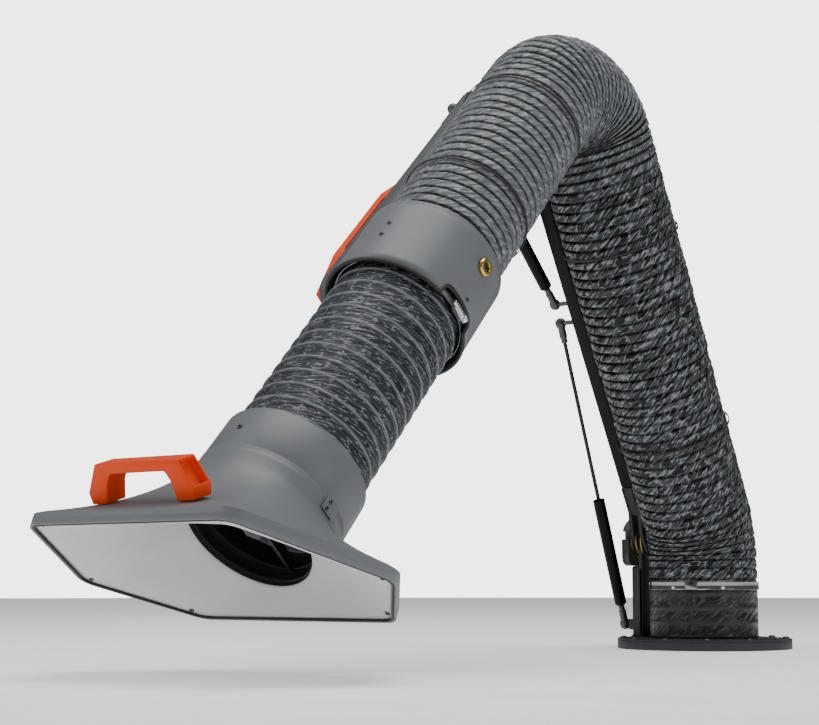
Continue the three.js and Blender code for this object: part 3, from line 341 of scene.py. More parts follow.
def rounded(corners, steps=8):
    """An outline of u, v points from corners of u, v and radius."""
    points = []
    for i, (u, v, radius) in enumerate(corners):
        here = Vector((u, v))
        if not radius:
            points.append(here)
            continue
        back = (Vector(corners[i - 1][:2]) - here).normalized()
        on = (Vector(corners[(i + 1) % len(corners)][:2]) - here).normalized()
        half = back.angle(on) / 2
        centre = here + (back + on).normalized() * radius / math.sin(half)
        first = here + back * radius / math.tan(half) - centre
        last = here + on * radius / math.tan(half) - centre
        start = math.atan2(first.y, first.x)
        sweep = math.remainder(math.atan2(last.y, last.x) - start, math.tau)
        for k in range(steps + 1):
            turn = start + sweep * k / steps
            points.append(centre + radius * Vector((math.cos(turn), math.sin(turn))))
    return points


def grow(bm, face, way):
    """Extrudes a face."""
    grown = bmesh.ops.extrude_face_region(bm, geom=[face])["geom"]
    bmesh.ops.translate(bm, vec=way, verts=[v for v in grown if isinstance(v, bmesh.types.BMVert)])


def plate(outline, low, high):
    """A plate whose outline lies in Y and Z and whose thickness runs along X."""
    bm = bmesh.new()
    face = bm.faces.new([bm.verts.new((low, y, z)) for y, z in outline])
    grow(bm, face, Vector((high - low, 0, 0)))
    bmesh.ops.recalc_face_normals(bm, faces=bm.faces[:])
    return bm


PILLAR_HALF, PILLAR_SEAT = 22, 16.3
pillar_post = soften(plate(rounded([
    (-PILLAR_HALF, PILLAR_SEAT, 0), (PILLAR_HALF, PILLAR_SEAT, 0), (PILLAR_HALF, 182, 21),
    (-PILLAR_HALF, 182, 21)]), -97, -91), 1.0)
pillar_foot = soften(plate(rounded([
    (-PILLAR_HALF, PILLAR_SEAT, 0), (PILLAR_HALF, PILLAR_SEAT, 0), (PILLAR_HALF, 121.7, 4),
    (-PILLAR_HALF, 121.7, 4)]), -109.4, -90.8), 1.5)
piece("pillar_post", gather(pillar_post, pillar_foot), ground, anthracite, "turret", "anthracite",
      "pillar")

drum_coat = coat("drum_coat", (0.055, 0.058, 0.062), 0.42, 1200.0, 0.0001)
DRUM_R, NOTCH_FLOOR, NOTCH_LOW, NOTCH_HIGH = 34, -24, 162, 174
NOTCH_SIDE, LOW_CORNER = -20, 150
drum_edge = rounded([
    (-DRUM_R, 122, 14), (DRUM_R, 122, 14), (DRUM_R, 194, 33), (-DRUM_R, 194, 33)], 14)
above = [p for p in drum_edge if p.x < NOTCH_SIDE and p.y > NOTCH_HIGH]
below = [p for p in drum_edge if p.x < NOTCH_SIDE and p.y < LOW_CORNER]
others = [p for p in drum_edge if p.x >= NOTCH_SIDE]
notch = [Vector((above[-1].x, NOTCH_HIGH)), Vector((NOTCH_FLOOR, NOTCH_HIGH)),
         Vector((NOTCH_FLOOR, NOTCH_LOW)), Vector((-DRUM_R, NOTCH_LOW))]
drum = soften(plate(below + others + above + notch, -119.5, -107.2), 1.0)
piece("stop_drum", drum, ground, drum_coat, "turret", "anthracite", "hinge_drum")

lower = link_frame((0, 0, HINGE_HEIGHT), LOWER_TILT)
FOOT_TOP, CHEEK_THICK = 96, 6
foot_cheek = rounded([
    (-24, -24, 23), (24, -24, 23), (24, 24, 10), (LINK_HALF, 56, 4), (LINK_HALF, FOOT_TOP, 0),
    (-LINK_HALF, FOOT_TOP, 0), (-LINK_HALF, 56, 4), (-24, 24, 10)])
foot_block = [(-LINK_HALF, 50), (LINK_HALF, 50), (LINK_HALF, FOOT_TOP), (-LINK_HALF, FOOT_TOP)]
foot = gather(soften(plate(foot_cheek, LINK_OUT, LINK_OUT + CHEEK_THICK), 0.8),
              soften(plate(foot_cheek, LINK_IN - CHEEK_THICK, LINK_IN), 0.8),
              soften(plate(foot_block, LINK_OUT + 0.1, LINK_IN - 0.1), 1.0))
piece("forked_foot", foot, lower, anthracite, "lower_arm", "anthracite", "lower_foot")

# Lower link: drawn rectangular steel tube with a satin dark coat, pushed on the forked foot.
# The turned eye at its upper end takes the elbow's pin.
tube_coat = coat("tube_coat", (0.0055, 0.006, 0.0065), 0.46, 1400.0, 0.00008, 0.16)
EYE_START, GAP = 668, 0.3
tube_ends = [(-LINK_HALF, FOOT_TOP + GAP), (LINK_HALF, FOOT_TOP + GAP),
             (LINK_HALF, EYE_START - GAP), (-LINK_HALF, EYE_START - GAP)]
link_tube = soften(plate(tube_ends, LINK_OUT, LINK_IN), 3.2, 4)
piece("link_tube", link_tube, lower, tube_coat, "lower_arm", "anthracite", "lower_tube")
link_eye = soften(plate(rounded([
    (-LINK_HALF, EYE_START, 0), (LINK_HALF, EYE_START, 0), (20, 720, 16), (-20, 720, 16)], 10),
    LINK_OUT, LINK_IN), 1.2)
piece("link_eye", link_eye, lower, tube_coat, "lower_arm", "anthracite", "lower_eye")

# Upper link: pressed steel channel with round ends, open towards the hose, in a satin grey coat.
# A gusset plate on its outer face carries it on the elbow's pin.
grey = coat("grey_coat", (0.138, 0.150, 0.159), 0.46, 1300.0, 0.00006)
channel_coat = coat("channel_coat", (0.070, 0.075, 0.078), 0.42, 1300.0, 0.00006)
LOWER_LENGTH, BAR_TILT = 0.7, 135
CHANNEL_OUT, CHANNEL_IN, CHANNEL_WALL = -113.5, -91.5, 3.0


def on_link(x, distance):
    """A point beside the lower link, at a distance from the base hinge."""
    turn = math.radians(LOWER_TILT)
    return Vector((x, -distance * math.sin(turn), HINGE_HEIGHT + distance * math.cos(turn)))


def hollow(bm, picked, edge, depth):
    """Sinks a pocket with a thin edge into the picked face."""
    bmesh.ops.inset_region(bm, faces=[picked], thickness=edge, use_even_offset=True)
    grow(bm, picked, -picked.normal * depth)
    bmesh.ops.delete(bm, geom=[picked], context="FACES_ONLY")
    bmesh.ops.recalc_face_normals(bm, faces=bm.faces[:])


bar = link_frame(on_link(0, LOWER_LENGTH), BAR_TILT)
channel = plate(rounded([(12, 62, 12), (70, 62, 12), (70, 525, 28), (12, 525, 28)], 14),
                CHANNEL_OUT, CHANNEL_IN)
open_side = max(channel.faces, key=lambda f: f.calc_center_median().x)
hollow(channel, open_side, CHANNEL_WALL, CHANNEL_IN - CHANNEL_OUT - CHANNEL_WALL)
piece("pressed_channel", soften(channel, 1.2), bar, channel_coat, "upper_arm", "grey_coat",
      "upper_channel")
gusset = soften(plate(rounded([
    (-22, -22, 20), (-22, 14, 14), (18, 150, 10), (66, 150, 10), (66, 68, 16), (22, -22, 18)]),
    -121.8, -113.8), 1.2)
piece("hinge_gusset", gusset, bar, channel_coat, "upper_arm", "grey_coat", "elbow_gusset")

# Pins, studs, washers and the link inside the head: turned and plated steel, brass discs at the
# hinges and a plastic slide bearing under the turntable.
bright_steel = metal("bright_steel", 900.0, (0.52, 0.53, 0.54), (0.66, 0.67, 0.68), 0.2)
brass = metal("washer_brass", 700.0, (0.42, 0.33, 0.13), (0.55, 0.44, 0.19), 0.25)
WASHER_R, PIN_R, WASHER_THICK = 28, 6.4, 1.4
across = Matrix.Rotation(math.radians(90), 4, "Y")


def dress(finish, *nodes):
    """Gives solids that stay in view their finish."""
    for name in nodes:
        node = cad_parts[name]
        for held in node.material_slots:
            held.material = finish.material


for washer, start in (("outer", -106.7), ("middle", -98.7), ("inner", -90.7)):
    disc = moved(soften(ring(WASHER_R, PIN_R, start, start + WASHER_THICK, 64), 0.2, 2),
                 Matrix.Translation((0, 0, HINGE_HEIGHT * 1000)) @ across)
    piece(f"brass_washer_{washer}", disc, ground, brass, "turret", "washer_brass",
          f"friction_washer_{washer}")
dress(brass, "elbow_washer_outer", "elbow_washer_inner")
dress(bright_steel, "base_pivot_pin", "elbow_pivot_pin")
dress(screw_steel, "stay_tube", "stay_nut", "lower_spring_stud", "upper_spring_stud",
      "channel_spring_stud")
dress(anthracite, "base_spring_bracket", "elbow_spacer", "joint_pipe", "yoke")
bearing_skin = coat("bearing_plastic", (0.5, 0.5, 0.49), 0.45, 600.0, 0.00005)
dress(bearing_skin, "slide_bearing")

# Gas springs: black lacquered steel cylinder and nitrided rod, each with a crimped socket that
# snaps on a ball stud. The cylinders' bores leave room for the rods to lean.
spring_black = coat("spring_lacquer", (0.003, 0.003, 0.0033), 0.34, 500.0, 0.00003, 0.14)
rod_dark = metal("nitrided_rod", 1200.0, (0.02, 0.02, 0.022), (0.04, 0.04, 0.043), 0.18,
                 span=0.1, metallic=0.8, detail=2.0)
socket_grey = metal("socket_zinc", 800.0, (0.07, 0.07, 0.075), (0.13, 0.13, 0.135), 0.3,
                    metallic=0.9)
SPRING_X = -0.1315
SOCKET_END, BARREL_R, BORE_R, ROD_R = 30.3, 9.0, 8.3, 2.9


def spring_frame(start, end):
    """Millimetres in a spring's own frame to metres: Z from one ball to the other."""
    along = (end - start).normalized()
    side = Vector((1, 0, 0))
    turn = Matrix((side, along.cross(side), along)).transposed().to_4x4()
    return Matrix.Translation(start) @ turn @ Matrix.Scale(0.001, 4)


def ball_socket():
    """Ball cup with a crimped stem that the spring screws into."""
    cup = turned([(0, -8.2), (4.2, -7.2), (7.2, -4.2), (8.3, 0), (7.4, 4.2), (5.6, 7.4), (5.6, 22),
                  (4.6, 23), (4.6, 30), (0, 30)], 32)
    return soften(cup, 0.4, 2, 25)


def gas_spring(name, low, high, length, rod_in, low_body, high_body):
    """A spring between two balls: the cylinder on the low one, the rod on the high one."""
    up = spring_frame(low, high)
    down = spring_frame(high, low)
    end = SOCKET_END + length
    barrel = turned([
        (0, SOCKET_END), (5.2, SOCKET_END), (BARREL_R, 34), (BARREL_R, end - 6), (8.6, end - 4.5),
        (BARREL_R, end - 3), (8.9, end - 0.3), (8.4, end), (BORE_R, 36), (0, 36)], 48)
    piece(f"{name}_barrel", barrel, up, spring_black, low_body, "spring_black",
          f"{name}_cylinder")
    piece(f"{name}_foot_cup", ball_socket(), up, socket_grey, low_body, "rod_dark",
          f"{name}_socket")
    tip = (high - low).length * 1000 - end + rod_in
    shaft = turned([(0, SOCKET_END), (ROD_R, SOCKET_END), (ROD_R, tip - 1), (ROD_R - 0.6, tip),
                    (0, tip)], 32)
    piece(f"{name}_shaft", shaft, down, rod_dark, high_body, "rod_dark", f"{name}_rod")
    piece(f"{name}_head_cup", ball_socket(), down, socket_grey, high_body, "rod_dark",
          f"{name}_rod_socket")


base_ball = Vector((SPRING_X, -0.006, 0.034))
channel_ball = bar @ Vector((SPRING_X * 1000, 58, 91))
gas_spring("lower_spring", base_ball, on_link(SPRING_X, 0.366), length=170, rod_in=62,
           low_body="lower_spring_body", high_body="lower_spring_piston")
gas_spring("upper_spring", on_link(SPRING_X, 0.396), channel_ball, length=182, rod_in=100,
           low_body="upper_spring_body", high_body="upper_spring_piston")

# Hose: coated fabric sewn over a steel wire spiral, slack enough to fold between the turns.
# Three lengths: one over the base hinge, one over the elbow and one from the sleeve to the hood.
# Painted top light: from this distance along the hose, in metres, and over this length, the cloth
# is painted lighter.
PAINTED_LIGHT_FROM, PAINTED_LIGHT_OVER = 0.70, 0.10


def hose_finish(name, slant, long, wide, near, far, wire_tone, depth, rough, edge, mid):
    """Coated cloth with lens-shaped folds, long by wide, that lie at a slant to the wire. Their
    light
    is painted: painted shade on one side, a middle tone on the other and a painted highlight along
    the edge between them, and painted shade in the tucks behind the wire. near and far are the dark
    and light tones before and past the elbow; on the arm's hose the far ones are painted top light."""
    finish = Finish(name)
    run = finish.node("ShaderNodeAttribute", {"attribute_name": "run"}, output="Vector")
    rib = finish.node("ShaderNodeAttribute", {"attribute_name": "rib"}, output="Fac")
    tuck = finish.node("ShaderNodeAttribute", {"attribute_name": "tuck"}, output="Fac")
    onward = finish.node("ShaderNodeSeparateXYZ", {}, {0: run}, 0)
    sideways = finish.node("ShaderNodeSeparateXYZ", {}, {0: run}, 1)
    turn = math.radians(slant)
    fold_at = finish.node("ShaderNodeCombineXYZ", {}, {
        0: sideways * (math.cos(turn) / long) + onward * (math.sin(turn) / long),
        1: onward * (math.cos(turn) / wide) - sideways * (math.sin(turn) / wide)})
    folds = finish.noise(1.0, 1.2, fold_at)
    patch = finish.noise(22.0, 2.0)
    weave = finish.noise(1500.0, 2.0)
    level = folds + patch * 0.08 - 0.04
    # Painted shade and painted highlight on the folds: dark on one side, a middle tone on the other
    # and light along the edge between them.
    crest = finish.ramp(level, (0.5 - edge, 0.0), (0.5, 1.0), (0.5 + edge, mid))
    # Painted top light: past the elbow the cloth's dark and light tones are painted lighter, where
    # light from above falls on the upper leg.
    painted_top_light = finish.ramp((onward - PAINTED_LIGHT_FROM) * (1 / PAINTED_LIGHT_OVER), (0.0, 0.0), (1.0, 1.0))
    dark = finish.blend(painted_top_light, near[0] + (1,), far[0] + (1,))
    light = finish.blend(painted_top_light, near[1] + (1,), far[1] + (1,))
    cloth = finish.blend(crest, dark, light)
    # Painted shade in the tucks behind each wire turn: the cloth is blended towards its dark tone
    # there.
    cloth = finish.blend(tuck * 0.92, cloth, near[0] + (1,))
    return finish.shade(
        Base_Color=finish.blend(rib, cloth, wire_tone + (1,)),
        Roughness=weave * 0.06 + (1 - crest) * 0.14 + rough,
        Specular_IOR_Level=0.3,
        Normal=finish.bump(level * (1 - tuck) * 3.0 + weave * 0.02, depth, 0.9))


arm_cloth = hose_finish(
    "hose_cloth_arm", slant=36, long=0.024, wide=0.0060,
    near=((0.004, 0.005, 0.006), (0.270, 0.296, 0.316)),
    far=((0.125, 0.136, 0.144), (0.290, 0.312, 0.326)),
    wire_tone=(0.034, 0.039, 0.044), depth=0.0030, rough=0.2, edge=0.05, mid=0.14)
head_cloth = hose_finish(
    "hose_cloth_head", slant=11, long=0.022, wide=0.0040,
    near=((0.012, 0.015, 0.018), (0.14, 0.156, 0.168)),
    far=((0.009, 0.012, 0.016), (0.240, 0.262, 0.280)),
    wire_tone=(0.215, 0.232, 0.245), depth=0.0012, rough=0.3, edge=0.028, mid=0.04)

HOSE_LEAN, HOSE_DROOP = 28.5, 46.4
LEG_TILT = 90 + HOSE_DROOP
BEND_R, ELBOW_R, STUB_START = 150.0, 91.0, 16.4
# Reach and height of the head joint, and of the corner of the bend over the base hinge.
head_at = Vector((694.7, 463.5))
bend_at = Vector((0, 164))


def lean(tilt):
    """Direction in reach and height at a tilt from upright."""
    return Vector((math.sin(math.radians(tilt)), math.cos(math.radians(tilt))))


low_run, high_run = lean(HOSE_LEAN), lean(LEG_TILT)
between = head_at - bend_at
low_length = ((between.y * high_run.x - between.x * high_run.y)
              / (low_run.y * high_run.x - low_run.x * high_run.y))
elbow_vertex = bend_at + low_run * low_length
high_length = (head_at - elbow_vertex).length
bend_tangent = BEND_R * math.tan(math.radians(HOSE_LEAN / 2))
elbow_tangent = ELBOW_R * math.tan(math.radians((LEG_TILT - HOSE_LEAN) / 2))
stub_run = bend_at.y - bend_tangent - STUB_START
bend_run = BEND_R * math.radians(HOSE_LEAN)
leg_run = low_length - bend_tangent - elbow_tangent
elbow_run = ELBOW_R * math.radians(LEG_TILT - HOSE_LEAN)
leg_start = stub_run + bend_run
elbow_start = leg_start + leg_run
high_run_start = elbow_start + elbow_run
head_start = high_run_start + high_length - elbow_tangent


def turn_point(vertex, tilt0, tilt, radius, tangent):
    """A point on a bend round a vertex, which starts at tilt0."""
    start = vertex - lean(tilt0) * tangent
    inward = Vector((lean(tilt0).y, -lean(tilt0).x))
    d = lean(tilt)
    return start + inward * radius - Vector((d.y, -d.x)) * radius


def hose_line(s):
    """Reach, height and tilt of the hose's middle at a distance from its foot."""
    if s < stub_run:
        return Vector((0, STUB_START + s)), 0.0
    if s < leg_start:
        tilt = math.degrees((s - stub_run) / BEND_R)
        return turn_point(bend_at, 0, tilt, BEND_R, bend_tangent), tilt
    if s < elbow_start:
        return bend_at + low_run * (bend_tangent + s - leg_start), HOSE_LEAN
    if s < high_run_start:
        tilt = HOSE_LEAN + math.degrees((s - elbow_start) / ELBOW_R)
        return turn_point(elbow_vertex, HOSE_LEAN, tilt, ELBOW_R, elbow_tangent), tilt
    return elbow_vertex + high_run * (elbow_tangent + s - high_run_start), LEG_TILT


def in_scene(point):
    """Reach and height in millimetres to a place in metres."""
    return (0, -point.x / 1000, point.y / 1000)


NOISE_ROWS = 67


def smooth_noise(u, v, period, seed):
    """Smooth noise from -1 to 1 that closes after NOISE_ROWS cells of u and period cells of v."""
    table = np.random.default_rng(seed).uniform(-1, 1, (NOISE_ROWS, period))
    i, j = np.floor(u).astype(int), np.floor(v).astype(int)
    a, b = u - i, v - j
    a, b = a * a * (3 - 2 * a), b * b * (3 - 2 * b)
    i0, i1, j0, j1 = i % NOISE_ROWS, (i + 1) % NOISE_ROWS, j % period, (j + 1) % period
    low = table[i0, j0] * (1 - b) + table[i0, j1] * b
    high = table[i1, j0] * (1 - b) + table[i1, j1] * b
    return low * (1 - a) + high * a


def wrapped_grid(rows, columns):
    """A grid with its own run map, and each point's share along and around."""
    bm = bmesh.new()
    bm.loops.layers.uv.new("run")
    bmesh.ops.create_grid(bm, x_segments=rows, y_segments=columns, size=1, calc_uvs=True)
    at = np.array([v.co for v in bm.verts])
    return bm, (at[:, 0] + 1) / 2, (at[:, 1] + 1) / 2


def at_end(share):
    return (share < 1e-6) | (share > 1 - 1e-6)


def close_grid(bm, points, seam, near=0.01):
    """Sets a grid's points and joins those on its seam."""
    for vert, point in zip(bm.verts, points):
        vert.co = point
    bmesh.ops.remove_doubles(bm, verts=[v for v, on in zip(bm.verts, seam) if on], dist=near)
    bmesh.ops.recalc_face_normals(bm, faces=bm.faces[:])
    return bm


COLUMNS = 150
AROUND = math.tau * 0.080
STATIONS = (0.0, 0.045, 0.1, 0.17, 0.26, 0.38, 0.52, 0.68, 0.82, 0.92)
PIPE_LENGTH, STUB_PAINTED_SHADE = 74, 0.82
FIRM_BEFORE, FIRM_OVER = 60, 80
BROAD_CELLS, FOLD_CELLS, FOLD_LENGTH = 14, 40, 5.0
TUCK_WIDE, WIRE_WIDE, WIRE_PAST, STUB_WIRE_WIDE = 1.6, 1.5, 2.6, 3.4
CLOTH_SINK, END_SINK, END_LENGTH = 1.2, 2.5, 1.5


def hose_points(s, radius, angle, keys):
    """Points round the hose's middle, in metres."""
    line = [hose_line(k) for k in keys]
    reach = np.interp(s, keys, [p.x for p, _ in line])
    height = np.interp(s, keys, [p.y for p, _ in line])
    tilt = np.radians(np.interp(s, keys, [t for _, t in line]))
    side = radius * np.sin(angle)
    return np.stack([radius * np.cos(angle), -(reach - np.cos(tilt) * side),
                     height + np.sin(tilt) * side], axis=1) * 0.001


def hose_length(name, finish, start, end, pitch, nodes, crest, crease, wire, show, slackness, seed):
    """One length of hose. pitch(s) is the wire's pitch, crest the radius over the wire, crease how
    deep the cloth tucks in behind each turn, wire how far the wire stands out, show how clearly it
    is seen and slackness how far the cloth bags between the turns."""
    fine = np.linspace(start, end, 4000)
    turns = np.concatenate(([0], np.cumsum(np.diff(fine) / pitch((fine[1:] + fine[:-1]) / 2))))
    ribs = int(round(turns[-1]))
    turns = turns * ribs / turns[-1]
    rows = ribs * len(STATIONS)
    marks = np.array([i + f for i in range(ribs) for f in STATIONS] + [ribs])
    bm, along, about = wrapped_grid(rows, COLUMNS)
    count = marks[np.round(along * rows).astype(int)]
    s = np.interp(count, turns, fine)
    part = count - np.floor(count)
    step = pitch(s)
    from_rib = np.minimum(part, 1 - part) * step
    angle = (about + 0.5) * math.tau
    firm = np.clip((s - elbow_start + FIRM_BEFORE) / FIRM_OVER, 0, 1)
    firm = np.maximum(firm, np.clip(-2 * np.cos(angle), 0, 1))
    on_pipe = s < PIPE_LENGTH
    # On the pipe the cloth lies flat; there this value only paints the whole stub darker, as
    # painted shade, and flattens its folds' bump.
    tuck = np.where(on_pipe, STUB_PAINTED_SHADE, np.exp(-(from_rib / TUCK_WIDE) ** 2) * (0.5 + 0.5 * firm))
    from_wire = part * step - WIRE_PAST if crease else from_rib
    proud = np.where(on_pipe, np.exp(-(from_rib / STUB_WIRE_WIDE) ** 4),
                     np.exp(-(from_wire / WIRE_WIDE) ** 2) * show)
    belly = np.sin(math.pi * np.clip(part, 0, 1)) ** 0.8
    broad = smooth_noise(count * 0.9, about * BROAD_CELLS, BROAD_CELLS, seed)
    fold = smooth_noise(s / FOLD_LENGTH - about * NOISE_ROWS, about * FOLD_CELLS, FOLD_CELLS,
                        seed + 1)
    radius = (crest - CLOTH_SINK - crease * np.where(on_pipe, 0, tuck)
              + wire * proud / np.where(on_pipe, 1, show))
    radius = radius + belly * slackness * (0.4 * broad + 0.9 * (0.5 - np.abs(fold)))
    radius = radius - END_SINK * np.clip(1 - np.minimum(s - start, end - s) / END_LENGTH, 0, 1)
    points = hose_points(s, radius, angle, np.linspace(start, end, rows * 2))
    rib_layer = bm.verts.layers.float.new("rib")
    # The tuck's depth is kept for the shader, which paints the cloth darker there as painted shade.
    tuck_layer = bm.verts.layers.float.new("tuck")
    for vert, raised, sunk in zip(bm.verts, proud, tuck if crease else 0 * tuck):
        vert[rib_layer] = float(raised)
        vert[tuck_layer] = float(sunk)
    run_map = bm.loops.layers.uv["run"]
    along_m = np.interp(marks, turns, fine) * 0.001
    for face in bm.faces:
        for loop in face.loops:
            u, v = loop[run_map].uv
            loop[run_map].uv = (along_m[int(round(u * rows))], v * AROUND)
    close_grid(bm, points, at_end(about), 1e-5)
    return piece(name, bm, Matrix.Identity(4), finish, None, "hose_fabric", *nodes, sharp=85)


SPLIT = leg_start + 250
SLEEVE_ENTRY = head_start - 12
ARM_PITCH, STUB_EXTRA, STUB_END, STUB_EASE = 14.0, 7.5, 96, 10
ELBOW_PITCH, LOWER_EXTRA, UPPER_EXTRA, ELBOW_SHARE, ELBOW_EASE = 9.8, 4.4, 5.6, 0.45, 50
HEAD_PITCH = 22.0


def base_pitch(s):
    """The wire lies wider on the pipe."""
    return ARM_PITCH + STUB_EXTRA * np.clip((STUB_END - s) / STUB_EASE, 0, 1)


def elbow_pitch(s):
    """The wire lies closer in the elbow than on either side of it."""
    middle = elbow_start + elbow_run / 2
    apart = np.clip((np.abs(s - middle) - elbow_run * ELBOW_SHARE) / ELBOW_EASE, 0, 1)
    return ELBOW_PITCH + np.where(s < middle, LOWER_EXTRA, UPPER_EXTRA) * apart


def head_pitch(s):
    return np.full_like(s, HEAD_PITCH)


def hose_at(s):
    return in_scene(hose_line(s)[0])


base_hose = hose_length(
    "base_hose", arm_cloth, 0.0, SPLIT, base_pitch, ("hose_stub", "hose_base_bend"),
    crest=80.0, crease=2.2, wire=0.8, show=0.35, slackness=2.4, seed=11)
hose_at(leg_start + 26)
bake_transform(base_hose)
elbow_hose = hose_length(
    "elbow_hose", arm_cloth, SPLIT, SLEEVE_ENTRY, elbow_pitch,
    ("hose_lower", "hose_elbow", "hose_upper"),
    crest=81.5, crease=3.4, wire=0.8, show=0.3, slackness=2.2, seed=23)
hose_at(elbow_start - 50)
hose_at(high_run_start + 50)
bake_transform(elbow_hose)
head_hose = hose_length(
    "head_hose", head_cloth, head_start + 42, head_start + 352, head_pitch, ("hose_head",),
    crest=79.6, crease=0.0, wire=1.6, show=1.0, slackness=1.2, seed=37)
hose_at(head_start + 30)
hose_at(head_start + 300)
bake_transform(head_hose)

# Band clamp on the stub and thin straps round the hose: a bright rolled steel band with beaded
# edges and a buckle, and black rubber straps drawn tight over the cloth.
chrome = metal("band_steel", 420.0, (0.24, 0.245, 0.25), (0.33, 0.335, 0.34), 0.04, span=0.1)
band = soften(turned([
    (80.8, 86), (82.0, 86), (82.4, 86.6), (81.8, 87.4), (81.8, 96.6), (82.4, 97.4),
    (82.0, 98), (80.8, 98)], FINE), 0.2, 2)
buckle = soften(plate(rounded([
    (-9, 86.5, 1), (9, 86.5, 1), (9, 97.5, 1), (-9, 97.5, 1)], 3), 81.6, 84.6), 0.6)
buckle = moved(buckle, Matrix.Rotation(math.radians(-74), 4, "Z"))
piece("stub_band", gather(band, buckle), ground, chrome, "turret", "clamp_steel", "base_band_clamp")

black_rubber = coat("black_rubber", (0.012, 0.012, 0.013), 0.6, 1500.0, 0.0001)
for name, node, body, tilt in (
        ("strap_low_a", "lower_strap_first", "lower_arm", HOSE_LEAN),
        ("strap_low_b", "lower_strap_second", "lower_arm", HOSE_LEAN),
        ("strap_high_a", "upper_strap_first", "upper_arm", LEG_TILT),
        ("strap_high_b", "upper_strap_second", "upper_arm", LEG_TILT)):
    low, high = (Vector(corner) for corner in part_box(node))
    middle = (low + high) / 2
    loop = soften(ring(84.2, 82.6, -1.6, 1.6), 0.5, 2)
    where = link_frame((0, middle.y, middle.z), tilt)
    piece(name, loop, where, black_rubber, body, "black_rubber", node)

# Sleeve over the head joint: rolled sheet with a satin grey coat, notched at its side for the
# clamp's screw, with a rubber trim pressed on its lower lip and small screws in its wall.
head = link_frame(in_scene(head_at), LEG_TILT)
SLEEVE_R, SLEEVE_TOP, SLEEVE_END, SLEEVE_STEPS = 90.0, -30.0, 81.0, 360
TRIM_R, TRIM_IN = 2.4, 1.2


def sleeve_lip(angle):
    """Height of the sleeve's lower lip, which steps back to make the notch."""
    away = abs(math.remainder(angle - math.radians(-1), math.tau)) * SLEEVE_R
    half, corner, top = 32.0, 9.0, 63.0
    if away >= half:
        return SLEEVE_END
    if away > half - corner:
        return top + corner - math.sqrt(max(0.0, corner ** 2 - (away - half + corner) ** 2))
    return top


def thicken(skin, wall):
    """Gives a skin its wall, on the inside."""
    modifier = skin.modifiers.new("wall", "SOLIDIFY")
    modifier.thickness = wall
    modifier.offset = -1


rolled, along, about = wrapped_grid(10, SLEEVE_STEPS)
points = [(SLEEVE_R * math.cos(turn), SLEEVE_R * math.sin(turn),
           SLEEVE_TOP + (sleeve_lip(turn) - SLEEVE_TOP) * t)
          for t, turn in zip(along, about * math.tau)]
close_grid(rolled, points, at_end(about))
sleeve = piece("joint_sleeve", rolled, head, grey, "upper_arm", "grey_coat", "sleeve")
thicken(sleeve, 0.0025)


def sweep(path, radius, steps=10):
    """A round bead along a closed path of points."""
    count = len(path)
    bm, along, about = wrapped_grid(count, steps)
    points = []
    for t, turn in zip(along, about * math.tau):
        i = int(round(t * count)) % count
        here, last, following = path[i], path[i - 1], path[(i + 1) % count]
        on = (following - last).normalized()
        out = Vector((here.x, here.y, 0)).normalized()
        up = on.cross(out).normalized()
        points.append(here + (out * math.cos(turn) + up * math.sin(turn)) * radius)
    return close_grid(bm, points, at_end(along) | at_end(about))


TRIM_PATH_R = SLEEVE_R - TRIM_IN
lip_path = [Vector((TRIM_PATH_R * math.cos(a), TRIM_PATH_R * math.sin(a), sleeve_lip(a) + TRIM_IN))
            for a in np.linspace(0, math.tau, SLEEVE_STEPS, endpoint=False)]
piece("lip_trim", sweep(lip_path, TRIM_R), head, black_rubber, "upper_arm", "black_rubber",
      "sleeve_edge_trim")


def wall_screw(radius, angle, height, size):
    """A screw standing out of a round wall."""
    turn = Matrix.Rotation(math.radians(angle), 4, "Z") @ Matrix.Translation((radius, 0, height))
    return moved(screw(size, size * 0.55), turn @ across)


sleeve_screws = gather(*[
    wall_screw(SLEEVE_R - 0.2, angle, height, size)
    for angle, height, size in ((85, 14.5, 3.2), (85, 36, 3.2), (-3, 54.5, 3.0))])
piece("sleeve_screws", sleeve_screws, head, screw_steel, "upper_arm", "pin_steel")

# Worm clamp that holds the head hose: dull steel band whose bright tail runs on through the
# screw housing at the sleeve's notch.
worm_band = soften(ring(82.4, 81.2, 67, 75, FINE), 0.3, 2)
piece("screw_clamp", worm_band, head, chrome, "upper_arm", "clamp_steel", "worm_clamp")
tail = ring(83.3, 82.5, 67.4, 74.6, FINE)
for turn, way in ((-21, -1), (17, 1)):
    cut = Vector((-math.sin(math.radians(turn)), math.cos(math.radians(turn)), 0)) * way
    bmesh.ops.bisect_plane(tail, geom=tail.verts[:] + tail.edges[:] + tail.faces[:],
                           plane_co=(0, 0, 0), plane_no=cut, clear_outer=True)
bmesh.ops.holes_fill(tail, edges=[e for e in tail.edges if e.is_boundary])
bmesh.ops.recalc_face_normals(tail, faces=tail.faces[:])
housing = soften(plate(rounded([
    (-17, 69, 2), (4, 69, 2), (4, 79, 2), (-17, 79, 2)], 4), 82.4, 90.5), 1.4)
worm = soften(turned([(0, -16), (3.2, -16), (3.2, 8), (5.0, 8), (5.0, 13), (0, 13)], 24), 0.4)
worm = moved(worm, Matrix.Translation((88.5, -7, 74)) @ Matrix.Rotation(math.radians(90), 4, "X"))
piece("clamp_screw", gather(tail, housing, worm), head, bright_steel, "upper_arm", "clamp_steel")

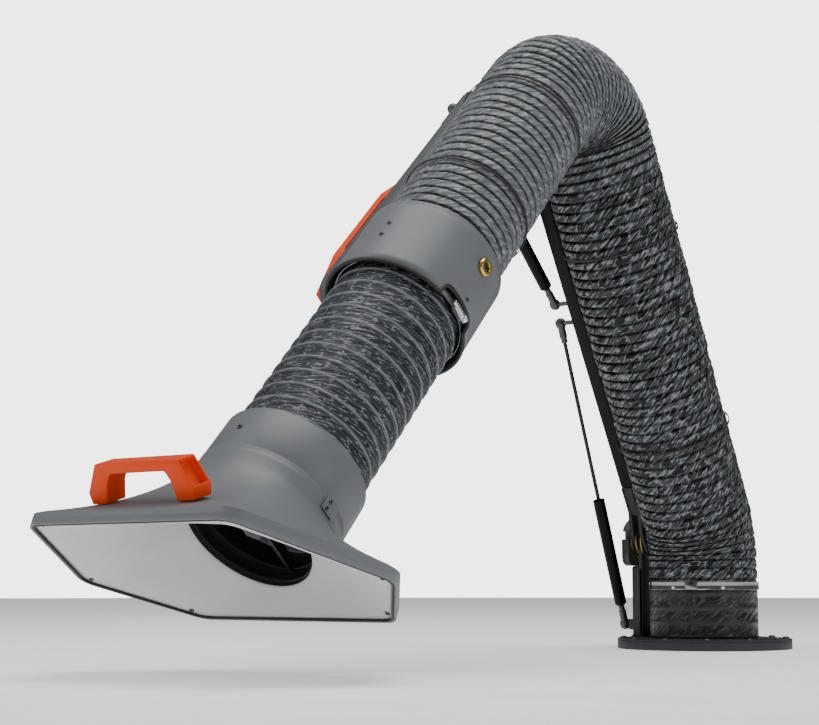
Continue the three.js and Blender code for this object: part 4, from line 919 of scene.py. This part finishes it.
# Pivot bolts of the head: turned shoulder bolts with yellow zinc plate and a hexagon socket,
# one on each side, screwed into the pipe inside the sleeve.
zinc = metal("yellow_zinc", 600.0, (0.62, 0.40, 0.08), (0.78, 0.56, 0.16), 0.14, span=0.15)
bolt = soften(turned([
    (0, 54), (5, 54), (5, 90.4), (11, 90.4), (11, 93), (9.6, 95), (6.2, 95.4), (5.6, 92),
    (0, 92)], 48), 0.4, 2)
piece("shoulder_bolt_right", moved(bolt, across), head, zinc, "upper_arm", "zinc_yellow",
      "pivot_bolt_right")
plug = soften(turned([
    (0, 91.9), (5.4, 91.9), (5.2, 93.6), (3.2, 94), (3.0, 92.4), (0, 92.4)], 6), 0.2, 2)
piece("bolt_socket", moved(plug, across), head, screw_steel, "upper_arm", "pin_steel")
dress(zinc, "pivot_bolt_left")

# Hood collar, neck and spider: the collar is turned and coated grey and holds the hose in its
# groove. The neck inside it and the cross that carries the hood are black plastic.
collar = soften(turned([
    (71.9, 336), (73.9, 336), (73.9, 387), (84.6, 387), (84.6, 336), (87.0, 335.8),
    (87.6, 391), (71.9, 391)], 160), 0.5, 2)
piece("collar", collar, head, grey, "hood", "grey_coat", "hood_collar")
black_plastic = coat("black_plastic", (0.010, 0.0105, 0.011), 0.42, 900.0, 0.00006)
neck = soften(turned([
    (75, 391.3), (77, 391.3), (77, 440), (75.2, 440), (75.2, 434), (73.6, 434), (73.6, 430),
    (74.6, 430), (74.6, 416), (73.0, 416), (73.0, 412), (74.8, 412)], FINE), 0.3, 2)
piece("inner_neck", neck, head, black_plastic, "hood", "black_plastic", "hood_neck")
dress(black_plastic, "hood_spider")

# Hood: pressed grey shell that opens from the round neck to a six-sided mouth in a tilted plane,
# with a smooth grey liner screwed in and a black seal round the edge.
MOUTH_Q, MOUTH_TILT = 500.0, math.radians(22.4)
MOUTH = [(139, 148.6), (221, -12.8), (136, -127.8), (-136, -127.8), (-221, -12.8), (-139, 148.6)]
SIDES, SHELL_STEPS, LINER_STEPS = 240, 24, 20
NECK_R = 88


def inset_mouth(inset):
    """The mouth's outline moved in from its edge."""
    lines = []
    for a, b in zip(MOUTH, MOUTH[1:] + MOUTH[:1]):
        run = (Vector(b) - Vector(a)).normalized()
        lines.append((Vector(a) + Vector((run.y, -run.x)) * inset, run))
    corners = []
    for (p, d), (q, e) in zip(lines[-1:] + lines[:-1], lines):
        w = q - p
        t = (w.x * e.y - w.y * e.x) / (d.x * e.y - d.y * e.x)
        corners.append((*(p + d * t), 26 - inset))
    return rounded(corners, 12)


rays_out = [Vector((math.cos(math.tau * k / SIDES), math.sin(math.tau * k / SIDES)))
            for k in range(SIDES)]


def mouth_ring(inset, depth):
    """Points round the mouth, inset from its edge and sunk behind its plane."""
    outline = inset_mouth(inset)
    ring_points = []
    for d in rays_out:
        for a, b in zip(outline, outline[1:] + outline[:1]):
            e = b - a
            det = e.x * d.y - e.y * d.x
            if abs(det) < 1e-9:
                continue
            reach_out = (e.x * a.y - e.y * a.x) / det
            share = (d.x * a.y - d.y * a.x) / det
            if reach_out > 0 and -1e-9 <= share <= 1 + 1e-9:
                p = d * reach_out
                ring_points.append(Vector((
                    p.x, p.y * math.cos(MOUTH_TILT) + depth * math.sin(MOUTH_TILT),
                    MOUTH_Q + p.y * math.sin(MOUTH_TILT) - depth * math.cos(MOUTH_TILT))))
                break
    return ring_points


def round_ring(radius, q):
    return [Vector((radius * d.x, radius * d.y, q)) for d in rays_out]


def flared(first, last, share, wide, deep):
    """A ring between two rings, with its own shares outwards and along the axis."""
    w, d = share ** wide, deep(share)
    return [Vector((a.x + (b.x - a.x) * w, a.y + (b.y - a.y) * w, a.z + (b.z - a.z) * d))
            for a, b in zip(first, last)]


def loft(rings):
    """A skin bridged through rings of points."""
    bm = bmesh.new()
    loops = []
    for points in rings:
        verts = [bm.verts.new(p) for p in points]
        loops.append([bm.edges.new(pair) for pair in zip(verts, verts[1:] + verts[:1])])
    for a, b in zip(loops, loops[1:]):
        bmesh.ops.bridge_loops(bm, edges=a + b)
    bmesh.ops.recalc_face_normals(bm, faces=bm.faces[:])
    return bm


neck_ring = round_ring(NECK_R, 411)
rim_ring = mouth_ring(0, 14)
shell_rings = [round_ring(NECK_R, 391.4), round_ring(NECK_R, 401), neck_ring]
shell_rings += [flared(neck_ring, rim_ring, k / SHELL_STEPS, 1.5, lambda t: t)
                for k in range(1, SHELL_STEPS)]
shell_rings += [mouth_ring(0, depth) for depth in (13.2, 7, 0)]
shell = piece("hood_shell_skin", loft(shell_rings), head, grey, "hood", "grey_coat",
              "hood_shell", sharp=50)
thicken(shell, 0.003)

liner_skin = coat("liner_skin", (0.56, 0.565, 0.575), 0.42, 1100.0, 0.00004)
hole_ring = round_ring(76.5, 442)
liner_edge = mouth_ring(5.5, 2.5)
liner_rings = [round_ring(75.2, 437.5), round_ring(75.4, 440.5), hole_ring]
liner_rings += [flared(hole_ring, liner_edge, k / LINER_STEPS, 1.0, lambda t: 1 - (1 - t) ** 1.6)
                for k in range(1, LINER_STEPS)]
liner_rings += [liner_edge]
liner = piece("mouth_liner", loft(liner_rings), head, liner_skin, "hood", "liner_grey",
              "hood_liner", sharp=60)
thicken(liner, 0.0016)
seal_rings = [mouth_ring(inset, depth)
              for inset, depth in ((3.1, 5), (3.1, -0.3), (5.4, -0.3), (5.4, 5))]
seal = loft(seal_rings + seal_rings[:1])
bmesh.ops.remove_doubles(seal, verts=seal.verts[:], dist=0.01)
bmesh.ops.recalc_face_normals(seal, faces=seal.faces[:])
piece("mouth_seal", seal, head, black_rubber, "hood", "black_rubber", "hood_edge_seal")


def on_mouth(x, y, depth):
    """A frame on the mouth's plane, Z out of the hood."""
    c, s = math.cos(MOUTH_TILT), math.sin(MOUTH_TILT)
    return Matrix(((1, 0, 0, x), (0, c, -s, y * c + depth * s),
                   (0, s, c, MOUTH_Q + y * s - depth * c), (0, 0, 0, 1)))


liner_screws = [moved(screw(3.4, 4.0), on_mouth(side * x, y, 5.5))
                for x, y in ((124, 139), (204, -10), (139, -107)) for side in (1, -1)]
piece("liner_screws", gather(*liner_screws), head, screw_steel, "hood", "pin_steel")

# Small plate on the hood's neck: stamped sheet with the hood's grey coat, held by two button-head
# screws. A third screw sits in the collar's wall.
cover = soften(plate(rounded([
    (-10.5, 393.5, 1.5), (10.5, 393.5, 1.5), (10.5, 410, 1.5), (-10.5, 410, 1.5)], 4),
    NECK_R + 0.3, NECK_R + 2), 0.5)
piece("neck_plate", cover, head, grey, "hood", "grey_coat", "neck_cover_plate")
neck_screws = gather(
    wall_screw(NECK_R + 1.9, 2.5, 397, 2.6), wall_screw(NECK_R + 1.9, 2.5, 406, 2.6),
    wall_screw(87.3, 91, 366, 3.2))
piece("neck_screws", neck_screws, head, screw_steel, "hood", "pin_steel")

# Handles: bows moulded in orange plastic and screwed on from inside. A short one with hollow leg
# ends stands on the hood, and a long one lies on the channel's outer face.
BOW_WIDE = 26
orange = coat("orange_plastic", (0.88, 0.062, 0.001), 0.42, 800.0, 0.00005, 0.22)


def bow(corners, steps):
    """A bow handle: its outline in X and Z, its width along Y."""
    bm = moved(plate(rounded(corners, steps), -BOW_WIDE / 2, BOW_WIDE / 2),
               Matrix(((0, 1, 0, 0), (1, 0, 0, 0), (0, 0, 1, 0), (0, 0, 0, 1))))
    bmesh.ops.recalc_face_normals(bm, faces=bm.faces[:])
    return bm


hood_bow = bow([
    (-70, 0, 0), (-49, 0, 0), (-44, 20, 0), (-38, 30, 5), (38, 30, 5), (44, 20, 0), (49, 0, 0),
    (70, 0, 0), (73, 12, 0), (57, 41, 0), (-57, 41, 0), (-73, 12, 0)], 4)
for end in (1, -1):
    leg = max(hood_bow.faces, key=lambda f: f.normal.x * end + f.normal.z * 0.5
              - abs(f.calc_center_median().x - 65 * end) * 0.05)
    hollow(hood_bow, leg, 2.4, 9)
grip_seat = head @ Matrix.Translation((0, 124.2, 513)) @ Matrix.Rotation(math.radians(-30), 4, "X")
stand_up = Matrix(((1, 0, 0, 0), (0, 0, 1, 0), (0, -1, 0, 0), (0, 0, 0, 1)))
piece("hood_grip", soften(hood_bow, 0.9), grip_seat @ stand_up, orange, "hood", "orange_plastic",
      "hood_handle")

arm_bow = bow([
    (250, -113.8, 0), (278, -113.8, 0), (298, -141.5, 6), (408, -141.5, 6), (468, -113.8, 0),
    (506, -113.8, 0), (510, -128.5, 3), (422, -152.5, 8), (286, -152.5, 8), (252, -127.5, 3)], 5)
lie_along = Matrix(((0, 0, 1, 0), (0, 1, 0, 41), (1, 0, 0, 0), (0, 0, 0, 1)))
piece("arm_grip", soften(moved(arm_bow, lie_along), 1.2), bar, orange, "upper_arm",
      "orange_plastic", "arm_handle")
